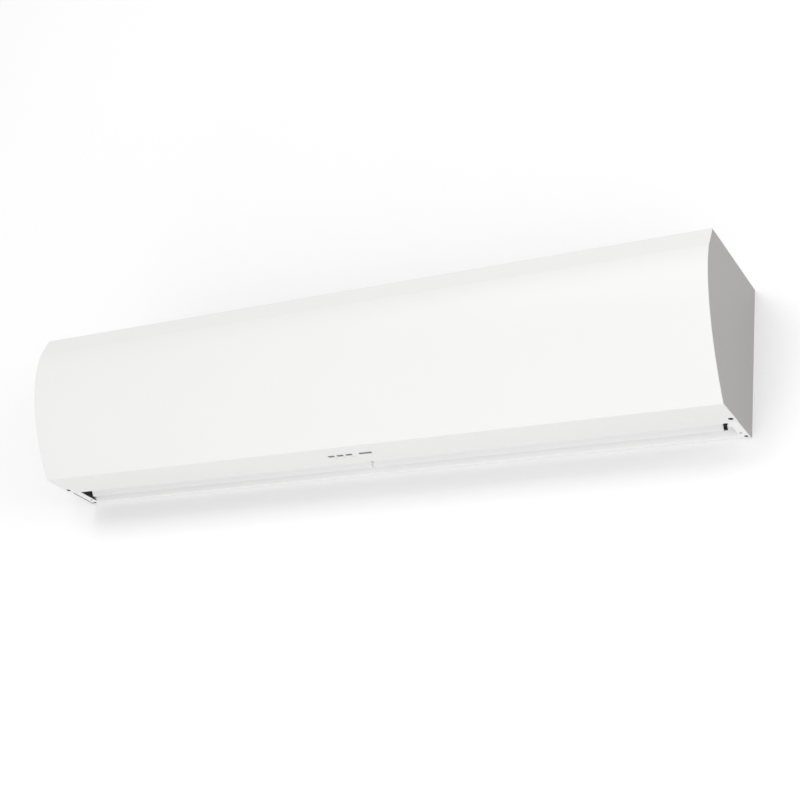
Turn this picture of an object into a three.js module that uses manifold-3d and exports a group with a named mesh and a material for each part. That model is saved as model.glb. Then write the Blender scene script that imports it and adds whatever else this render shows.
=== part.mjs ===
// A wall-mounted air curtain, built as separate pieces.
// Millimetres. X runs along the unit, +Y points into the wall, -Y is the front, +Z is up.
// The pieces are placed with the wall at y = 0 and the underside plate at z = 0. The exported group then
// moves them down, so that its origin is the middle of the wall rail's back face.
import * as THREE from 'three';
import { mergeVertices } from 'three/addons/utils/BufferGeometryUtils.js';
import Module from 'manifold-3d';

// ---- Driving dimensions -------------------------------------------------------------------------

// Outside of the unit
const length = 1500;
const height = 295;
const topEdgeDepth = 235.5; // front top edge, measured from the wall
const creaseDepth = 250.8; // crease between the narrow top band and the curved front
const creaseDrop = 41; // crease below the top
const cornerDepth = 155.4; // sharp lower front corner
const slotLipDepth = 75.5; // rear edge of the underside plate, front edge of the outlet slot
const upperHandleOut = 12.4; // how the curved front leaves the crease
const upperHandleDown = 70.2;
const lowerHandleOut = 70.4; // how the curved front reaches the lower corner
const lowerHandleUp = 84.7;
const frontCurveSteps = 40;

// Sheets and gaps
const coverSheet = 1.6;
const casingSheet = 1.2;
const guideSheet = 0.8;
const clearance = 0.3; // between pieces that seat on each other
const shutLine = 0.9; // gap seen between the cover and the end panels
const wallGap = 0.5; // end panels to the wall
const endPanelInset = 0.4; // end panels inside the cover's end edges
const overshoot = 1; // how far a cutting tool runs past what it cuts
const overlap = 0.5; // how deep joined shapes reach into each other
const topReturn = 14; // cover's flange on the top
const slotLipRise = 14; // cover's upturned lip at the slot

// Wall rail and pads
const railEndGap = 100; // rail's ends inside the unit's ends
const railHeight = 50;
const railSheet = 2;
const railDrop = 50; // rail's middle below the top
const railHookFromEnd = 200; // hooks' middles inside the rail's ends
const railHookWidth = 40;
const railHookRise = 10;
const railHookSheet = 2;
const railHookPlay = 2; // sideways, in the casing's slot
const padFromEnd = 150; // pads' middles inside the unit's ends
const padWidth = 40;
const padHeight = 24;
const padCentre = 32;

// Rear casing and intake grille
const casingFrontFlange = 12;
const intakeEndGap = 110; // opening's ends inside the unit's ends
const intakeFrontStrip = 21.2; // sheet left in front of the opening
const intakeRear = 24; // depth of the opening's rear edge
const grilleRim = 10;
const grilleThickness = 3;
const grilleBar = 5; // width of a bar
const grilleLongBars = 11;
const grilleCrossBars = 5;

// End panels
const endFlange = 15;
const cornerTabLength = 34; // tab behind the underside plate that takes the cover's screw
const cornerTabWidth = 18;

// Outlet frame
const frameRise = 3.7; // its underside above the underside plate's
const rearLipDepth = 11.5;
const endTabWidth = 17.6;
const deflectorReach = 8.5; // sloped sheet from the rear lip into the slot
const deflectorRise = 9;
const deflectorEndOverlap = 6; // sheet over the end tabs

// Air guides
const guideStart = 3.6; // lower edge of the rear guide above the frame's underside
const scrollStraightDrop = 35; // below the shaft's centre, where the scroll starts to curve
const scrollTopForward = 6; // scroll's top, in front of the shaft's centre
const scrollGap = 7; // scroll above the impeller
const scrollSteps = 14;
const cutoffStraightTop = 58;
const cutoffGap = 7; // cut-off's tip to the impeller
const cutoffAngle = 51; // degrees below the horizontal, from the shaft's centre to the tip
const cutoffTipRoll = 6;

// Fan
const fanDepth = 112; // shaft centre from the wall
const fanDrop = 110; // shaft centre below the top
const impellerRadius = 60;
const impellerBlades = 18;
const bladeChord = 13;
const bladeThickness = 1.2;
const bladeLean = 32; // degrees from the radius
const discThickness = 2;
const discBore = 40;
const discSides = 36;
const bladeInset = 1; // blades inside the discs' rims
const shaftRadius = 4;
const hubRadius = 9;
const hubLength = 16;
const stubLength = 22;
const hubOverhang = 4; // hub beyond the impeller's inner disc
const impellerGap = 10; // impeller's ends to the side plates
const roundSides = 24;
const mediumSides = 16;
const smallSides = 12;

// Fan side plates
const outerPlateFromEnd = 38.2; // outer face of the outer plates, inside the unit's ends
const innerPlateEnd = 58; // inner face of the inner plates, from the middle
const plateSheet = 1.5;
const plateFlange = 14;
const plateBottom = 54;
const plateReach = 26; // plates in front of and below the impeller
const plateRise = 8; // plates above the scroll

// Bearings and motor
const bearingRadius = 8;
const bearingLength = 9;
const cushionRadius = 15;
const cushionGroove = 11.7;
const cushionLength = 9;
const motorRadius = 42;
const motorLength = 88;
const motorShoulder = 6;
const motorBossRadius = 14;
const ringRadius = 22;
const ringGroove = 18;
const ringLength = 10;

// Heater
const heaterRods = 3;
const heaterRadius = 4.2;
const heaterHeight = 85;
const heaterFirstDepth = 30;
const heaterPitch = 26;
const heaterOverhang = 11;
const cutoutRadius = 9;
const cutoutThickness = 8;
const cutoutDepth = 60;
const cutoutHeight = 115;

// Outlet vanes
const vaneDepth = 40.5; // lower front edge of the blades
const vaneThickness = 2.4;
const vaneBottom = 3;
const vaneChord = 34;
const vaneLean = 38; // degrees, upper edge forward
const vaneBossRadius = 4;
const vanePinRadius = 2.5;
const leftVaneGap = 14.1; // outer end of the left blade to its bracket
const rightVaneGap = 19.1;
const vaneMiddleGap = 0.5; // blades to the centre bracket
const vaneCollarRadius = 11.5; // collar on the right blade's outer pin
const vaneCollarLength = 6.8;
const vanePinEngagement = 1.35; // in the centre bracket

// Vane brackets
const centreBracketWidth = 3;
const centreBracketRise = 9;
const centreBracketSetback = 0.5; // behind the blades' front faces
const endBracketSheet = 2.5;
const endBracketInset = 2; // from the slot's front edge and from the deflector
const endBracketFoot = 11;
const footWidth = 12;
const footThickness = 2;
const bracketHeadroom = 3.2; // brackets' tops below the motor's shield

// Keys, window and light pipe
const keyLength = 14;
const keyWidth = 7;
const keyDepth = 117.5;
const keyPitch = 20.2;
const firstKey = -50.1; // middle of the first key along X
const keyCount = 3;
const keyRecess = 0.3;
const keyFlange = 1.2;
const keyTravel = 1.2;
const keyStemRadius = 2;
const keyStemLength = 3;
const windowLength = 28.5;
const windowCentre = 27.2;
const lightRadius = 1.2;
const lightDepth = 107;
const lightOffset = 4.6; // each light from its key's middle
const lightBarThickness = 1.6;
const lightBarWidth = 4;

// Key carrier and control board
const carrierMargin = 8;
const carrierHeight = 7;
const boardThickness = 1.6;
const switchSide = 6;

// Electrics
const boxLength = 240;
const boxStart = 150; // left end, from the middle
const boxDepth = 58;
const boxBottom = 19;
const boxHeight = 38;
const boxWall = 1.2;
const capacitorRadius = 14;
const capacitorLength = 70;
const terminalLength = 70;
const terminalThickness = 20;
const terminalHeight = 28;
const terminalWays = 6;
const terminalStart = 10; // from the box's left wall
const capacitorStart = 100;
const wayShare = 0.6; // of the pitch, taken by the terminal's mouth
const glandPlateSide = 78;
const glandPlateRim = 5; // plate beyond the casing's cut-out, all round
const glandPlateFromEnd = 56; // plate's middle, inside the unit's end
const glandDepth = 110;
const glandRadius = 10;
const glandRise = 14;
const glandFlange = 6;
const domeRadius = 9;
const domeTaper = 3;
const glandStem = 12;
const glandStemRadius = 8;
const glandBore = 5;
const locknutRadius = 11;
const locknutThickness = 4;

// Screws
const coverScrewHead = 4.6;
const frameScrewHead = 3.6;
const screwHeadHeight = 1.2;
const screwShankRadius = 1.9;
const screwLength = 9;
const coverScrewFromEnd = 8;
const coverScrewFromLip = 17.5;
const frameScrewFromEnd = 9;
const frameScrewDepth = 6.4;
const bracketScrewInset = 5.4; // from the bracket's web
const bracketScrewDepth = 23;
const bracketScrewHead = 2.3;
const bracketScrewShank = 1.4;
const bracketHeadHeight = 1.2;
const bracketHeadTaper = 0.6;
const bracketScrewLength = 5;

// ---- Places worked out from them ----------------------------------------------------------------

const half = length / 2;
const panelOuter = half - endPanelInset;
const panelInner = panelOuter - casingSheet;
const insideEnd = panelInner - clearance;
const casingBack = -(railSheet + clearance);
const casingTopFront = -(topEdgeDepth - topReturn) + clearance;
const endFlangeStart = panelInner - endFlange;
const railCentre = height - railDrop;
const railHalf = half - railEndGap;
const railHook = railHalf - railHookFromEnd;
const intakeHalf = half - intakeEndGap;
const intakeFront = -casingTopFront - intakeFrontStrip;
const plateTop = coverSheet; // inner face of the underside plate
const slotFront = -slotLipDepth;
const slotRear = -rearLipDepth;
const frameTop = frameRise + casingSheet;
const guideFront = slotRear - clearance - guideSheet;
const cutoffRear = slotFront - clearance;
const cutoffBottom = slotLipRise + clearance;
const scrollBottom = frameRise + guideStart;
const fanHeight = height - fanDrop;
const fanAxis = { y: -fanDepth, z: fanHeight };
const scrollTopDepth = fanDepth + scrollTopForward;
const scrollTop = fanHeight + impellerRadius + scrollGap;
const cutoffTurn = THREE.MathUtils.degToRad(cutoffAngle);
const cutoffTipDepth = fanDepth + (impellerRadius + cutoffGap) * Math.cos(cutoffTurn);
const cutoffTipHeight = fanHeight - (impellerRadius + cutoffGap) * Math.sin(cutoffTurn);
const outerPlateEnd = half - outerPlateFromEnd;
const outerPlateInner = outerPlateEnd - plateSheet;
const innerPlateOuter = innerPlateEnd + plateSheet;
const impellerStart = innerPlateOuter + impellerGap;
const impellerEnd = outerPlateInner - impellerGap;
const deflectorTip = slotRear - deflectorReach;
const vaneTurn = THREE.MathUtils.degToRad(vaneLean);
const vanePivot = {
  y: -vaneDepth + (vaneThickness * Math.cos(vaneTurn) - vaneChord * Math.sin(vaneTurn)) / 2,
  z: vaneBottom + (vaneThickness * Math.sin(vaneTurn) + vaneChord * Math.cos(vaneTurn)) / 2,
};
const tabInner = panelInner - endTabWidth;
const endBracketInner = tabInner + clearance;
const bracketTop = plateBottom - guideSheet - bracketHeadroom;
const glandX = half - glandPlateFromEnd;
const glandPlateBottom = height + clearance;
const glandSeat = glandPlateBottom + casingSheet + clearance;
const coverScrewX = half - coverScrewFromEnd;
const coverScrewDepth = slotLipDepth + coverScrewFromLip;
const frameScrewX = half - frameScrewFromEnd;
const bracketScrewX = endBracketInner + bracketScrewInset;
const boxBack = cutoffRear - guideSheet - clearance;
const carrierBottom = plateTop + clearance;
const carrierTop = carrierBottom + carrierHeight;

// ---- Materials ----------------------------------------------------------------------------------

function finish(color, roughness, metalness) {
  return new THREE.MeshStandardMaterial({ color, roughness, metalness });
}

const whitePaint = finish(0xf3f3f2, 0.45, 0);
const greyPaint = finish(0xb5b1b1, 0.5, 0);
const zincSteel = finish(0x8d9194, 0.4, 1);
const darkPlastic = finish(0x2b2c2e, 0.6, 0);
const greyPlastic = finish(0x6d6f72, 0.55, 0);
const whitePlastic = finish(0xe9e9e6, 0.5, 0);
const blackRubber = finish(0x1b1b1c, 0.85, 0);
const impellerMetal = finish(0xb9bcbf, 0.35, 1);
const motorPaint = finish(0x3a3d41, 0.5, 0.4);
const heaterSteel = finish(0x5f5a55, 0.45, 1);
const boardGreen = finish(0x1f5a38, 0.55, 0);
const darkWindow = finish(0x101114, 0.1, 0);
const clearPlastic = finish(0xdfe8e4, 0.2, 0);
const blackScrew = finish(0x202124, 0.4, 0.8);

// ---- Solids -------------------------------------------------------------------------------------

const wasm = await Module();
wasm.setup();

// Turns a geometry into a solid that can be joined and cut.
function solid(geometry) {
  const bare = geometry.clone();
  bare.deleteAttribute('normal');
  bare.deleteAttribute('uv');
  const merged = mergeVertices(bare, 1e-4);
  return new wasm.Manifold(
    new wasm.Mesh({
      numProp: 3,
      vertProperties: new Float32Array(merged.attributes.position.array),
      triVerts: new Uint32Array(merged.index.array),
    }),
  );
}

// Turns a solid back into a geometry.
function geometryOf(body) {
  const mesh = body.getMesh();
  const geometry = new THREE.BufferGeometry();
  geometry.setAttribute('position', new THREE.BufferAttribute(mesh.vertProperties, 3));
  geometry.setIndex(new THREE.BufferAttribute(mesh.triVerts, 1));
  geometry.computeVertexNormals();
  return geometry;
}

function join(...geometries) {
  return geometryOf(geometries.map(solid).reduce((whole, next) => whole.add(next)));
}

function cut(geometry, ...tools) {
  return geometryOf(tools.map(solid).reduce((rest, tool) => rest.subtract(tool), solid(geometry)));
}

// A block between two corners.
function block(x0, x1, y0, y1, z0, z1) {
  const geometry = new THREE.BoxGeometry(x1 - x0, y1 - y0, z1 - z0);
  return geometry.translate((x0 + x1) / 2, (y0 + y1) / 2, (z0 + z1) / 2);
}

// An outline in the YZ plane, extruded along X.
function prism(outline, x0, x1) {
  const shape = new THREE.Shape(outline.map(([y, z]) => new THREE.Vector2(y, z)));
  const geometry = new THREE.ExtrudeGeometry(shape, { depth: x1 - x0, bevelEnabled: false });
  const alongX = new THREE.Matrix4().makeBasis(
    new THREE.Vector3(0, 1, 0),
    new THREE.Vector3(0, 0, 1),
    new THREE.Vector3(1, 0, 0),
  );
  return geometry.applyMatrix4(alongX).translate(x0, 0, 0);
}

// A round bar along X.
function barX(radius, x0, x1, y, z, sides = roundSides) {
  const geometry = new THREE.CylinderGeometry(radius, radius, x1 - x0, sides);
  return geometry.rotateZ(-Math.PI / 2).translate((x0 + x1) / 2, y, z);
}

// A round bar or cone along Z.
function barZ(lowerRadius, upperRadius, z0, z1, x, y, sides = roundSides) {
  const geometry = new THREE.CylinderGeometry(upperRadius, lowerRadius, z1 - z0, sides);
  return geometry.rotateX(Math.PI / 2).translate(x, y, (z0 + z1) / 2);
}

// A profile of [radius, distance along X] points, turned round the fan's axis.
function turned(profile, sides = roundSides) {
  const points = profile.map(([radius, along]) => new THREE.Vector2(radius, along));
  const geometry = new THREE.LatheGeometry(points, sides);
  return geometry.rotateZ(-Math.PI / 2).translate(0, fanAxis.y, fanAxis.z);
}

// The points of an open path moved sideways by a distance, to the right of the direction of travel.
function offsetPath(path, distance) {
  const normals = path.slice(1).map(([y, z], i) => {
    const [fromY, fromZ] = path[i];
    const run = Math.hypot(y - fromY, z - fromZ);
    return [(z - fromZ) / run, -(y - fromY) / run];
  });
  return path.map(([y, z], i) => {
    const before = normals[Math.max(i - 1, 0)];
    const after = normals[Math.min(i, normals.length - 1)];
    const share = 1 + before[0] * after[0] + before[1] * after[1];
    const dy = (before[0] + after[0]) / share;
    const dz = (before[1] + after[1]) / share;
    return [y + dy * distance, z + dz * distance];
  });
}

// A sheet bent along a path: its thickness lies to the right of the direction of travel.
function bentSheet(path, thickness, x0, x1) {
  const otherFace = offsetPath(path, thickness).reverse();
  return prism([...path, ...otherFace], x0, x1);
}

const unit = new THREE.Group();

function piece(name, geometry, material) {
  const mesh = new THREE.Mesh(geometry, material);
  mesh.name = name;
  unit.add(mesh);
}

function mirrored(geometry) {
  const other = geometry.index ? geometry.toNonIndexed() : geometry.clone();
  other.scale(-1, 1, 1);
  const positions = other.attributes.position;
  for (let i = 0; i < positions.count; i += 3) {
    const first = new THREE.Vector3().fromBufferAttribute(positions, i);
    const last = new THREE.Vector3().fromBufferAttribute(positions, i + 2);
    positions.setXYZ(i, last.x, last.y, last.z);
    positions.setXYZ(i + 2, first.x, first.y, first.z);
  }
  return other;
}

// Makes the same piece at both ends: the given geometry is the right one.
function pieceAtBothEnds(name, geometry, material) {
  piece(`right_${name}`, geometry, material);
  piece(`left_${name}`, mirrored(geometry), material);
}

// ---- Front cover --------------------------------------------------------------------------------

// The curved front, from the crease down to the lower corner.
function frontCurve() {
  const crease = new THREE.Vector2(-creaseDepth, height - creaseDrop);
  const corner = new THREE.Vector2(-cornerDepth, 0);
  const curve = new THREE.CubicBezierCurve(
    crease,
    new THREE.Vector2(crease.x - upperHandleOut, crease.y - upperHandleDown),
    new THREE.Vector2(corner.x - lowerHandleOut, corner.y + lowerHandleUp),
    corner,
  );
  return curve.getPoints(frontCurveSteps).map((point) => [point.x, point.y]);
}

const frontPath = [[-topEdgeDepth, height], ...frontCurve()];

function keyCentre(index) {
  return firstKey + index * keyPitch;
}

// A block through the underside plate at a key or the window, larger all round by the margin.
function plateOpening(centre, openingLength, margin, z0, z1) {
  const reachX = openingLength / 2 + margin;
  const reachY = keyWidth / 2 + margin;
  return block(centre - reachX, centre + reachX, -keyDepth - reachY, -keyDepth + reachY, z0, z1);
}

function lightPeg(index, radius, z0, z1) {
  return barZ(radius, radius, z0, z1, keyCentre(index) + lightOffset, -lightDepth, smallSides);
}

const keys = Array.from({ length: keyCount }, (_, index) => index);

function coverScrewHole(x) {
  const rimRadius = coverScrewHead + clearance;
  const neckRadius = screwShankRadius + clearance;
  const cone = barZ(rimRadius, neckRadius, 0, screwHeadHeight, x, -coverScrewDepth);
  const mouth = barZ(rimRadius, rimRadius, -overshoot, 0, x, -coverScrewDepth);
  const neck = barZ(neckRadius, neckRadius, screwHeadHeight, coverSheet + overshoot, x, -coverScrewDepth);
  return join(mouth, cone, neck);
}

function frontCover() {
  const path = [
    [-topEdgeDepth + topReturn, height],
    ...frontPath,
    [slotFront, 0],
    [slotFront, slotLipRise],
  ];
  const sheet = prism([...path, ...offsetPath(path, -coverSheet).reverse()], -half, half);
  const through = [-overshoot, coverSheet + overshoot];
  const lipEnd = block(
    insideEnd,
    half + overshoot,
    slotFront - coverSheet - clearance,
    slotFront + overshoot,
    coverSheet,
    slotLipRise + overshoot,
  );
  const openings = [
    lipEnd,
    mirrored(lipEnd),
    ...keys.map((index) => plateOpening(keyCentre(index), keyLength, clearance, ...through)),
    plateOpening(windowCentre, windowLength, clearance, ...through),
    ...keys.map((index) => lightPeg(index, lightRadius + clearance, ...through)),
    coverScrewHole(coverScrewX),
    coverScrewHole(-coverScrewX),
  ];
  return cut(sheet, ...openings);
}

piece('front_cover', frontCover(), whitePaint);

// ---- End panels ---------------------------------------------------------------------------------

// The right end panel: a plate inside the cover's outline, with flanges for the top, the back and the cover.
function endPanel() {
  const inset = coverSheet + shutLine;
  const underCover = offsetPath([[-topEdgeDepth + topReturn, height], ...frontPath, [slotFront, 0]], -inset);
  const rear = -wallGap;
  const outline = [...underCover, [rear, inset], [rear, height], [casingTopFront, height]];
  const plate = prism(outline, panelInner, panelOuter);
  const underTop = height - casingSheet - clearance;
  const topFlange = block(
    endFlangeStart,
    panelInner + casingSheet / 2,
    casingTopFront + casingSheet + clearance,
    casingBack - casingSheet - clearance,
    underTop - casingSheet,
    underTop,
  );
  const tabStart = panelInner - cornerTabWidth;
  const tabBottom = plateTop + clearance;
  const tabTop = tabBottom + casingSheet;
  const tab = block(
    tabStart,
    panelInner + casingSheet / 2,
    -coverScrewDepth - cornerTabLength / 2,
    -coverScrewDepth + cornerTabLength / 2 - coverSheet,
    tabBottom,
    tabTop,
  );
  const screwHole = barZ(
    screwShankRadius + clearance,
    screwShankRadius + clearance,
    tabBottom - overshoot,
    tabTop + overshoot,
    coverScrewX,
    -coverScrewDepth,
  );
  return cut(join(plate, topFlange, tab), screwHole);
}

pieceAtBothEnds('end_panel', endPanel(), greyPaint);

// ---- Rear casing and intake grille --------------------------------------------------------------

function rearCasing() {
  const bottom = frameTop + clearance;
  const path = [
    [casingTopFront, height - casingFrontFlange],
    [casingTopFront, height],
    [casingBack, height],
    [casingBack, bottom],
    [slotRear + casingSheet + clearance, bottom],
  ];
  const sheet = bentSheet(path, casingSheet, -insideEnd, insideEnd);
  const throughTop = [height - 2 * casingSheet, height + overshoot];
  const intake = block(-intakeHalf, intakeHalf, -intakeFront, -intakeRear, ...throughTop);
  const reach = glandPlateSide / 2 - glandPlateRim;
  const cableHole = block(
    glandX - reach,
    glandX + reach,
    -glandDepth - reach,
    -glandDepth + reach,
    ...throughTop,
  );
  const hookSlots = [-1, 1].map((side) => railHookSlot(side * railHook));
  const screwHoles = [-1, 1].map((side) =>
    barZ(
      screwShankRadius + clearance,
      screwShankRadius + clearance,
      frameTop,
      bottom + 2 * casingSheet,
      side * frameScrewX,
      -frameScrewDepth,
    ),
  );
  return cut(sheet, intake, cableHole, ...hookSlots, ...screwHoles);
}

// The slot in the casing's back that a rail hook passes through.
function railHookSlot(centre) {
  const reach = railHookWidth / 2 + railHookPlay;
  const bottom = railCentre - railHookSheet / 2 - clearance;
  const top = railCentre + railHookSheet / 2 + clearance;
  const front = casingBack - 2 * casingSheet;
  return block(centre - reach, centre + reach, front, casingBack + overshoot, bottom, top);
}

piece('rear_casing', rearCasing(), whitePaint);

function intakeGrille() {
  const top = height - casingSheet - clearance;
  const bottom = top - grilleThickness;
  const reachX = intakeHalf + grilleRim;
  const front = -intakeFront - grilleRim;
  const rear = -intakeRear + grilleRim;
  const plate = block(-reachX, reachX, front, rear, bottom, top);
  const rows = grilleLongBars + 1;
  const columns = grilleCrossBars + 1;
  const rowPitch = (intakeFront - intakeRear + grilleBar) / rows;
  const columnPitch = (2 * intakeHalf + grilleBar) / columns;
  const windows = [];
  for (let row = 0; row < rows; row += 1) {
    for (let column = 0; column < columns; column += 1) {
      const x0 = -intakeHalf + column * columnPitch;
      const x1 = x0 + columnPitch - grilleBar;
      const y0 = -intakeFront + row * rowPitch;
      const y1 = y0 + rowPitch - grilleBar;
      windows.push(block(x0, x1, y0, y1, bottom - overshoot, top + overshoot));
    }
  }
  return cut(plate, ...windows);
}

piece('intake_grille', intakeGrille(), greyPaint);

// ---- Wall rail and pads -------------------------------------------------------------------------

// A hook that runs forward through the casing's back and then up behind it.
function railHookShape(centre) {
  const tip = casingBack - casingSheet - clearance - railHookSheet;
  const bottom = railCentre - railHookSheet / 2;
  const x0 = centre - railHookWidth / 2;
  const x1 = centre + railHookWidth / 2;
  const arm = block(x0, x1, tip, -railSheet / 2, bottom, bottom + railHookSheet);
  const nose = block(x0, x1, tip, tip + railHookSheet, bottom, bottom + railHookSheet + railHookRise);
  return join(arm, nose);
}

function wallRail() {
  const strip = block(
    -railHalf,
    railHalf,
    -railSheet,
    0,
    railCentre - railHeight / 2,
    railCentre + railHeight / 2,
  );
  const hooks = [-1, 1].map((side) => railHookShape(side * railHook));
  return join(strip, ...hooks);
}

piece('wall_rail', wallRail(), zincSteel);

function wallPad() {
  const x = half - padFromEnd;
  const z = padCentre;
  return block(x - padWidth / 2, x + padWidth / 2, -railSheet, 0, z - padHeight / 2, z + padHeight / 2);
}

pieceAtBothEnds('wall_pad', wallPad(), blackRubber);

// ---- Outlet frame -------------------------------------------------------------------------------

function bracketScrewHole(side) {
  const radius = bracketScrewShank + clearance;
  return barZ(radius, radius, 0, frameTop + overshoot, side * bracketScrewX, -bracketScrewDepth, smallSides);
}

function frameScrewHole(side) {
  const rimRadius = frameScrewHead + clearance;
  const neckRadius = screwShankRadius + clearance;
  const x = side * frameScrewX;
  const cone = barZ(rimRadius, neckRadius, frameRise, frameTop, x, -frameScrewDepth);
  const mouth = barZ(rimRadius, rimRadius, frameRise - overshoot, frameRise, x, -frameScrewDepth);
  const neck = barZ(neckRadius, neckRadius, frameTop, frameTop + overshoot, x, -frameScrewDepth);
  return join(mouth, cone, neck);
}

// The white plate round the slot's ends and rear, with a sheet that slopes from its rear lip into the slot.
function outletFrame() {
  const rear = casingBack;
  const front = slotFront + clearance;
  const lip = block(-insideEnd, insideEnd, slotRear, rear, frameRise, frameTop);
  const rightTab = block(tabInner, insideEnd, front, slotRear + overlap, frameRise, frameTop);
  const leftTab = block(-insideEnd, -tabInner, front, slotRear + overlap, frameRise, frameTop);
  const slope = [
    [slotRear, frameRise],
    [deflectorTip, frameRise + deflectorRise],
  ];
  const deflectorEnd = tabInner + deflectorEndOverlap;
  const deflector = bentSheet(slope, casingSheet, -deflectorEnd, deflectorEnd);
  const whole = join(lip, rightTab, leftTab, deflector);
  return cut(whole, frameScrewHole(-1), frameScrewHole(1), bracketScrewHole(-1), bracketScrewHole(1));
}

piece('outlet_frame', outletFrame(), whitePaint);

// ---- Air guides ---------------------------------------------------------------------------------

// The rear guide runs up the duct's rear wall and then over the impeller as a quarter of an ellipse.
function rearGuide() {
  const path = [[guideFront, scrollBottom]];
  const reachY = scrollTopDepth + guideFront;
  const scrollStraightTop = fanHeight - scrollStraightDrop;
  const reachZ = scrollTop - scrollStraightTop;
  for (let step = 0; step <= scrollSteps; step += 1) {
    const angle = (step / scrollSteps) * (Math.PI / 2);
    path.push([-scrollTopDepth + reachY * Math.cos(angle), scrollStraightTop + reachZ * Math.sin(angle)]);
  }
  return bentSheet(path, guideSheet, innerPlateOuter + clearance, outerPlateInner - clearance);
}

pieceAtBothEnds('rear_air_guide', rearGuide(), zincSteel);

// The cut-off plate runs up the duct's front wall and forward under the impeller to its tip.
function cutoffPlate() {
  const path = [
    [cutoffRear, cutoffBottom],
    [cutoffRear, cutoffStraightTop],
    [-cutoffTipDepth, cutoffTipHeight],
    [-cutoffTipDepth - cutoffTipRoll, cutoffTipHeight - cutoffTipRoll / 2],
  ];
  const sheet = offsetPath(path, -guideSheet).reverse();
  return prism([...path, ...sheet], innerPlateOuter + clearance, outerPlateInner - clearance);
}

pieceAtBothEnds('cutoff_plate', cutoffPlate(), zincSteel);

// The motor's shield closes the duct between the two inner fan plates, under the motor.
function motorShield() {
  const path = [
    [cutoffRear, cutoffBottom],
    [cutoffRear, plateBottom],
    [guideFront, plateBottom],
    [guideFront, scrollBottom],
  ];
  const reach = innerPlateEnd - clearance;
  return prism([...path, ...offsetPath(path, -guideSheet).reverse()], -reach, reach);
}

piece('motor_shield', motorShield(), zincSteel);

// ---- Fan side plates ----------------------------------------------------------------------------

function heaterDepth(index) {
  return heaterFirstDepth + index * heaterPitch;
}

const rods = Array.from({ length: heaterRods }, (_, index) => index);

// A plate across the unit that carries the fan and the heater rods, with a flange on the casing's back.
function sidePlate(x0, shaftHole, flangeSide) {
  const rear = casingBack - casingSheet - clearance;
  const top = scrollTop + plateRise;
  const frontReach = impellerRadius + plateReach;
  const outline = [
    [rear, plateBottom],
    [rear, top],
    [-fanDepth - frontReach / 2, top],
    [-fanDepth - frontReach, fanHeight + frontReach / 2],
    [-fanDepth - frontReach, fanHeight - plateReach],
    [-cutoffTipDepth - plateReach / 2, cutoffTipHeight - plateReach / 2],
    [cutoffRear - plateReach / 2, plateBottom],
  ];
  const plate = prism(outline, x0, x0 + plateSheet);
  const flangeStart = flangeSide > 0 ? x0 + plateSheet / 2 : x0 + plateSheet / 2 - plateFlange;
  const flange = block(flangeStart, flangeStart + plateFlange, rear - plateSheet, rear, plateBottom, top);
  const through = [x0 - plateFlange, x0 + plateSheet + plateFlange];
  const bearingHole = barX(shaftHole, ...through, fanAxis.y, fanAxis.z);
  const rodHoles = rods.map((index) =>
    barX(heaterRadius + clearance, ...through, -heaterDepth(index), heaterHeight, mediumSides),
  );
  return cut(join(plate, flange), bearingHole, ...rodHoles);
}

pieceAtBothEnds('outer_fan_plate', sidePlate(outerPlateInner, cushionGroove + clearance, 1), zincSteel);
pieceAtBothEnds('inner_fan_plate', sidePlate(innerPlateEnd, ringGroove + clearance, -1), zincSteel);

// ---- Bearings and motor -------------------------------------------------------------------------

// A rubber ring whose groove takes the edge of the hole in a plate.
function grooved(plateInner, bore, groove, outer, width) {
  const middle = plateInner + plateSheet / 2;
  const grooveHalf = plateSheet / 2 + clearance;
  const start = middle - width / 2;
  const end = middle + width / 2;
  return turned([
    [bore, start],
    [outer, start],
    [outer, middle - grooveHalf],
    [groove, middle - grooveHalf],
    [groove, middle + grooveHalf],
    [outer, middle + grooveHalf],
    [outer, end],
    [bore, end],
    [bore, start],
  ]);
}

const bearingBore = shaftRadius + clearance;
const bearingMiddle = outerPlateInner + plateSheet / 2;

function bearing() {
  const start = bearingMiddle - bearingLength / 2;
  const end = bearingMiddle + bearingLength / 2;
  return turned([
    [bearingBore, start],
    [bearingRadius, start],
    [bearingRadius, end],
    [bearingBore, end],
    [bearingBore, start],
  ]);
}

pieceAtBothEnds('bearing', bearing(), impellerMetal);
pieceAtBothEnds(
  'bearing_cushion',
  grooved(outerPlateInner, bearingRadius + clearance, cushionGroove, cushionRadius, cushionLength),
  blackRubber,
);
pieceAtBothEnds(
  'motor_ring',
  grooved(innerPlateEnd, motorBossRadius + clearance, ringGroove, ringRadius, ringLength),
  blackRubber,
);

// The motor's housing, with a boss at each end that sits in a rubber ring.
function motorBody() {
  const end = motorLength / 2;
  const bossEnd = innerPlateEnd + (plateSheet + ringLength) / 2;
  return turned([
    [bearingBore, -bossEnd],
    [motorBossRadius, -bossEnd],
    [motorBossRadius, -end],
    [motorRadius - motorShoulder, -end],
    [motorRadius, -end + motorShoulder],
    [motorRadius, end - motorShoulder],
    [motorRadius - motorShoulder, end],
    [motorBossRadius, end],
    [motorBossRadius, bossEnd],
    [bearingBore, bossEnd],
    [bearingBore, -bossEnd],
  ]);
}

piece('motor_body', motorBody(), motorPaint);

// ---- Fan ----------------------------------------------------------------------------------------

const shaftEnd = impellerStart + hubLength;

piece('motor_shaft', barX(shaftRadius, -shaftEnd, shaftEnd, fanAxis.y, fanAxis.z), zincSteel);

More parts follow.
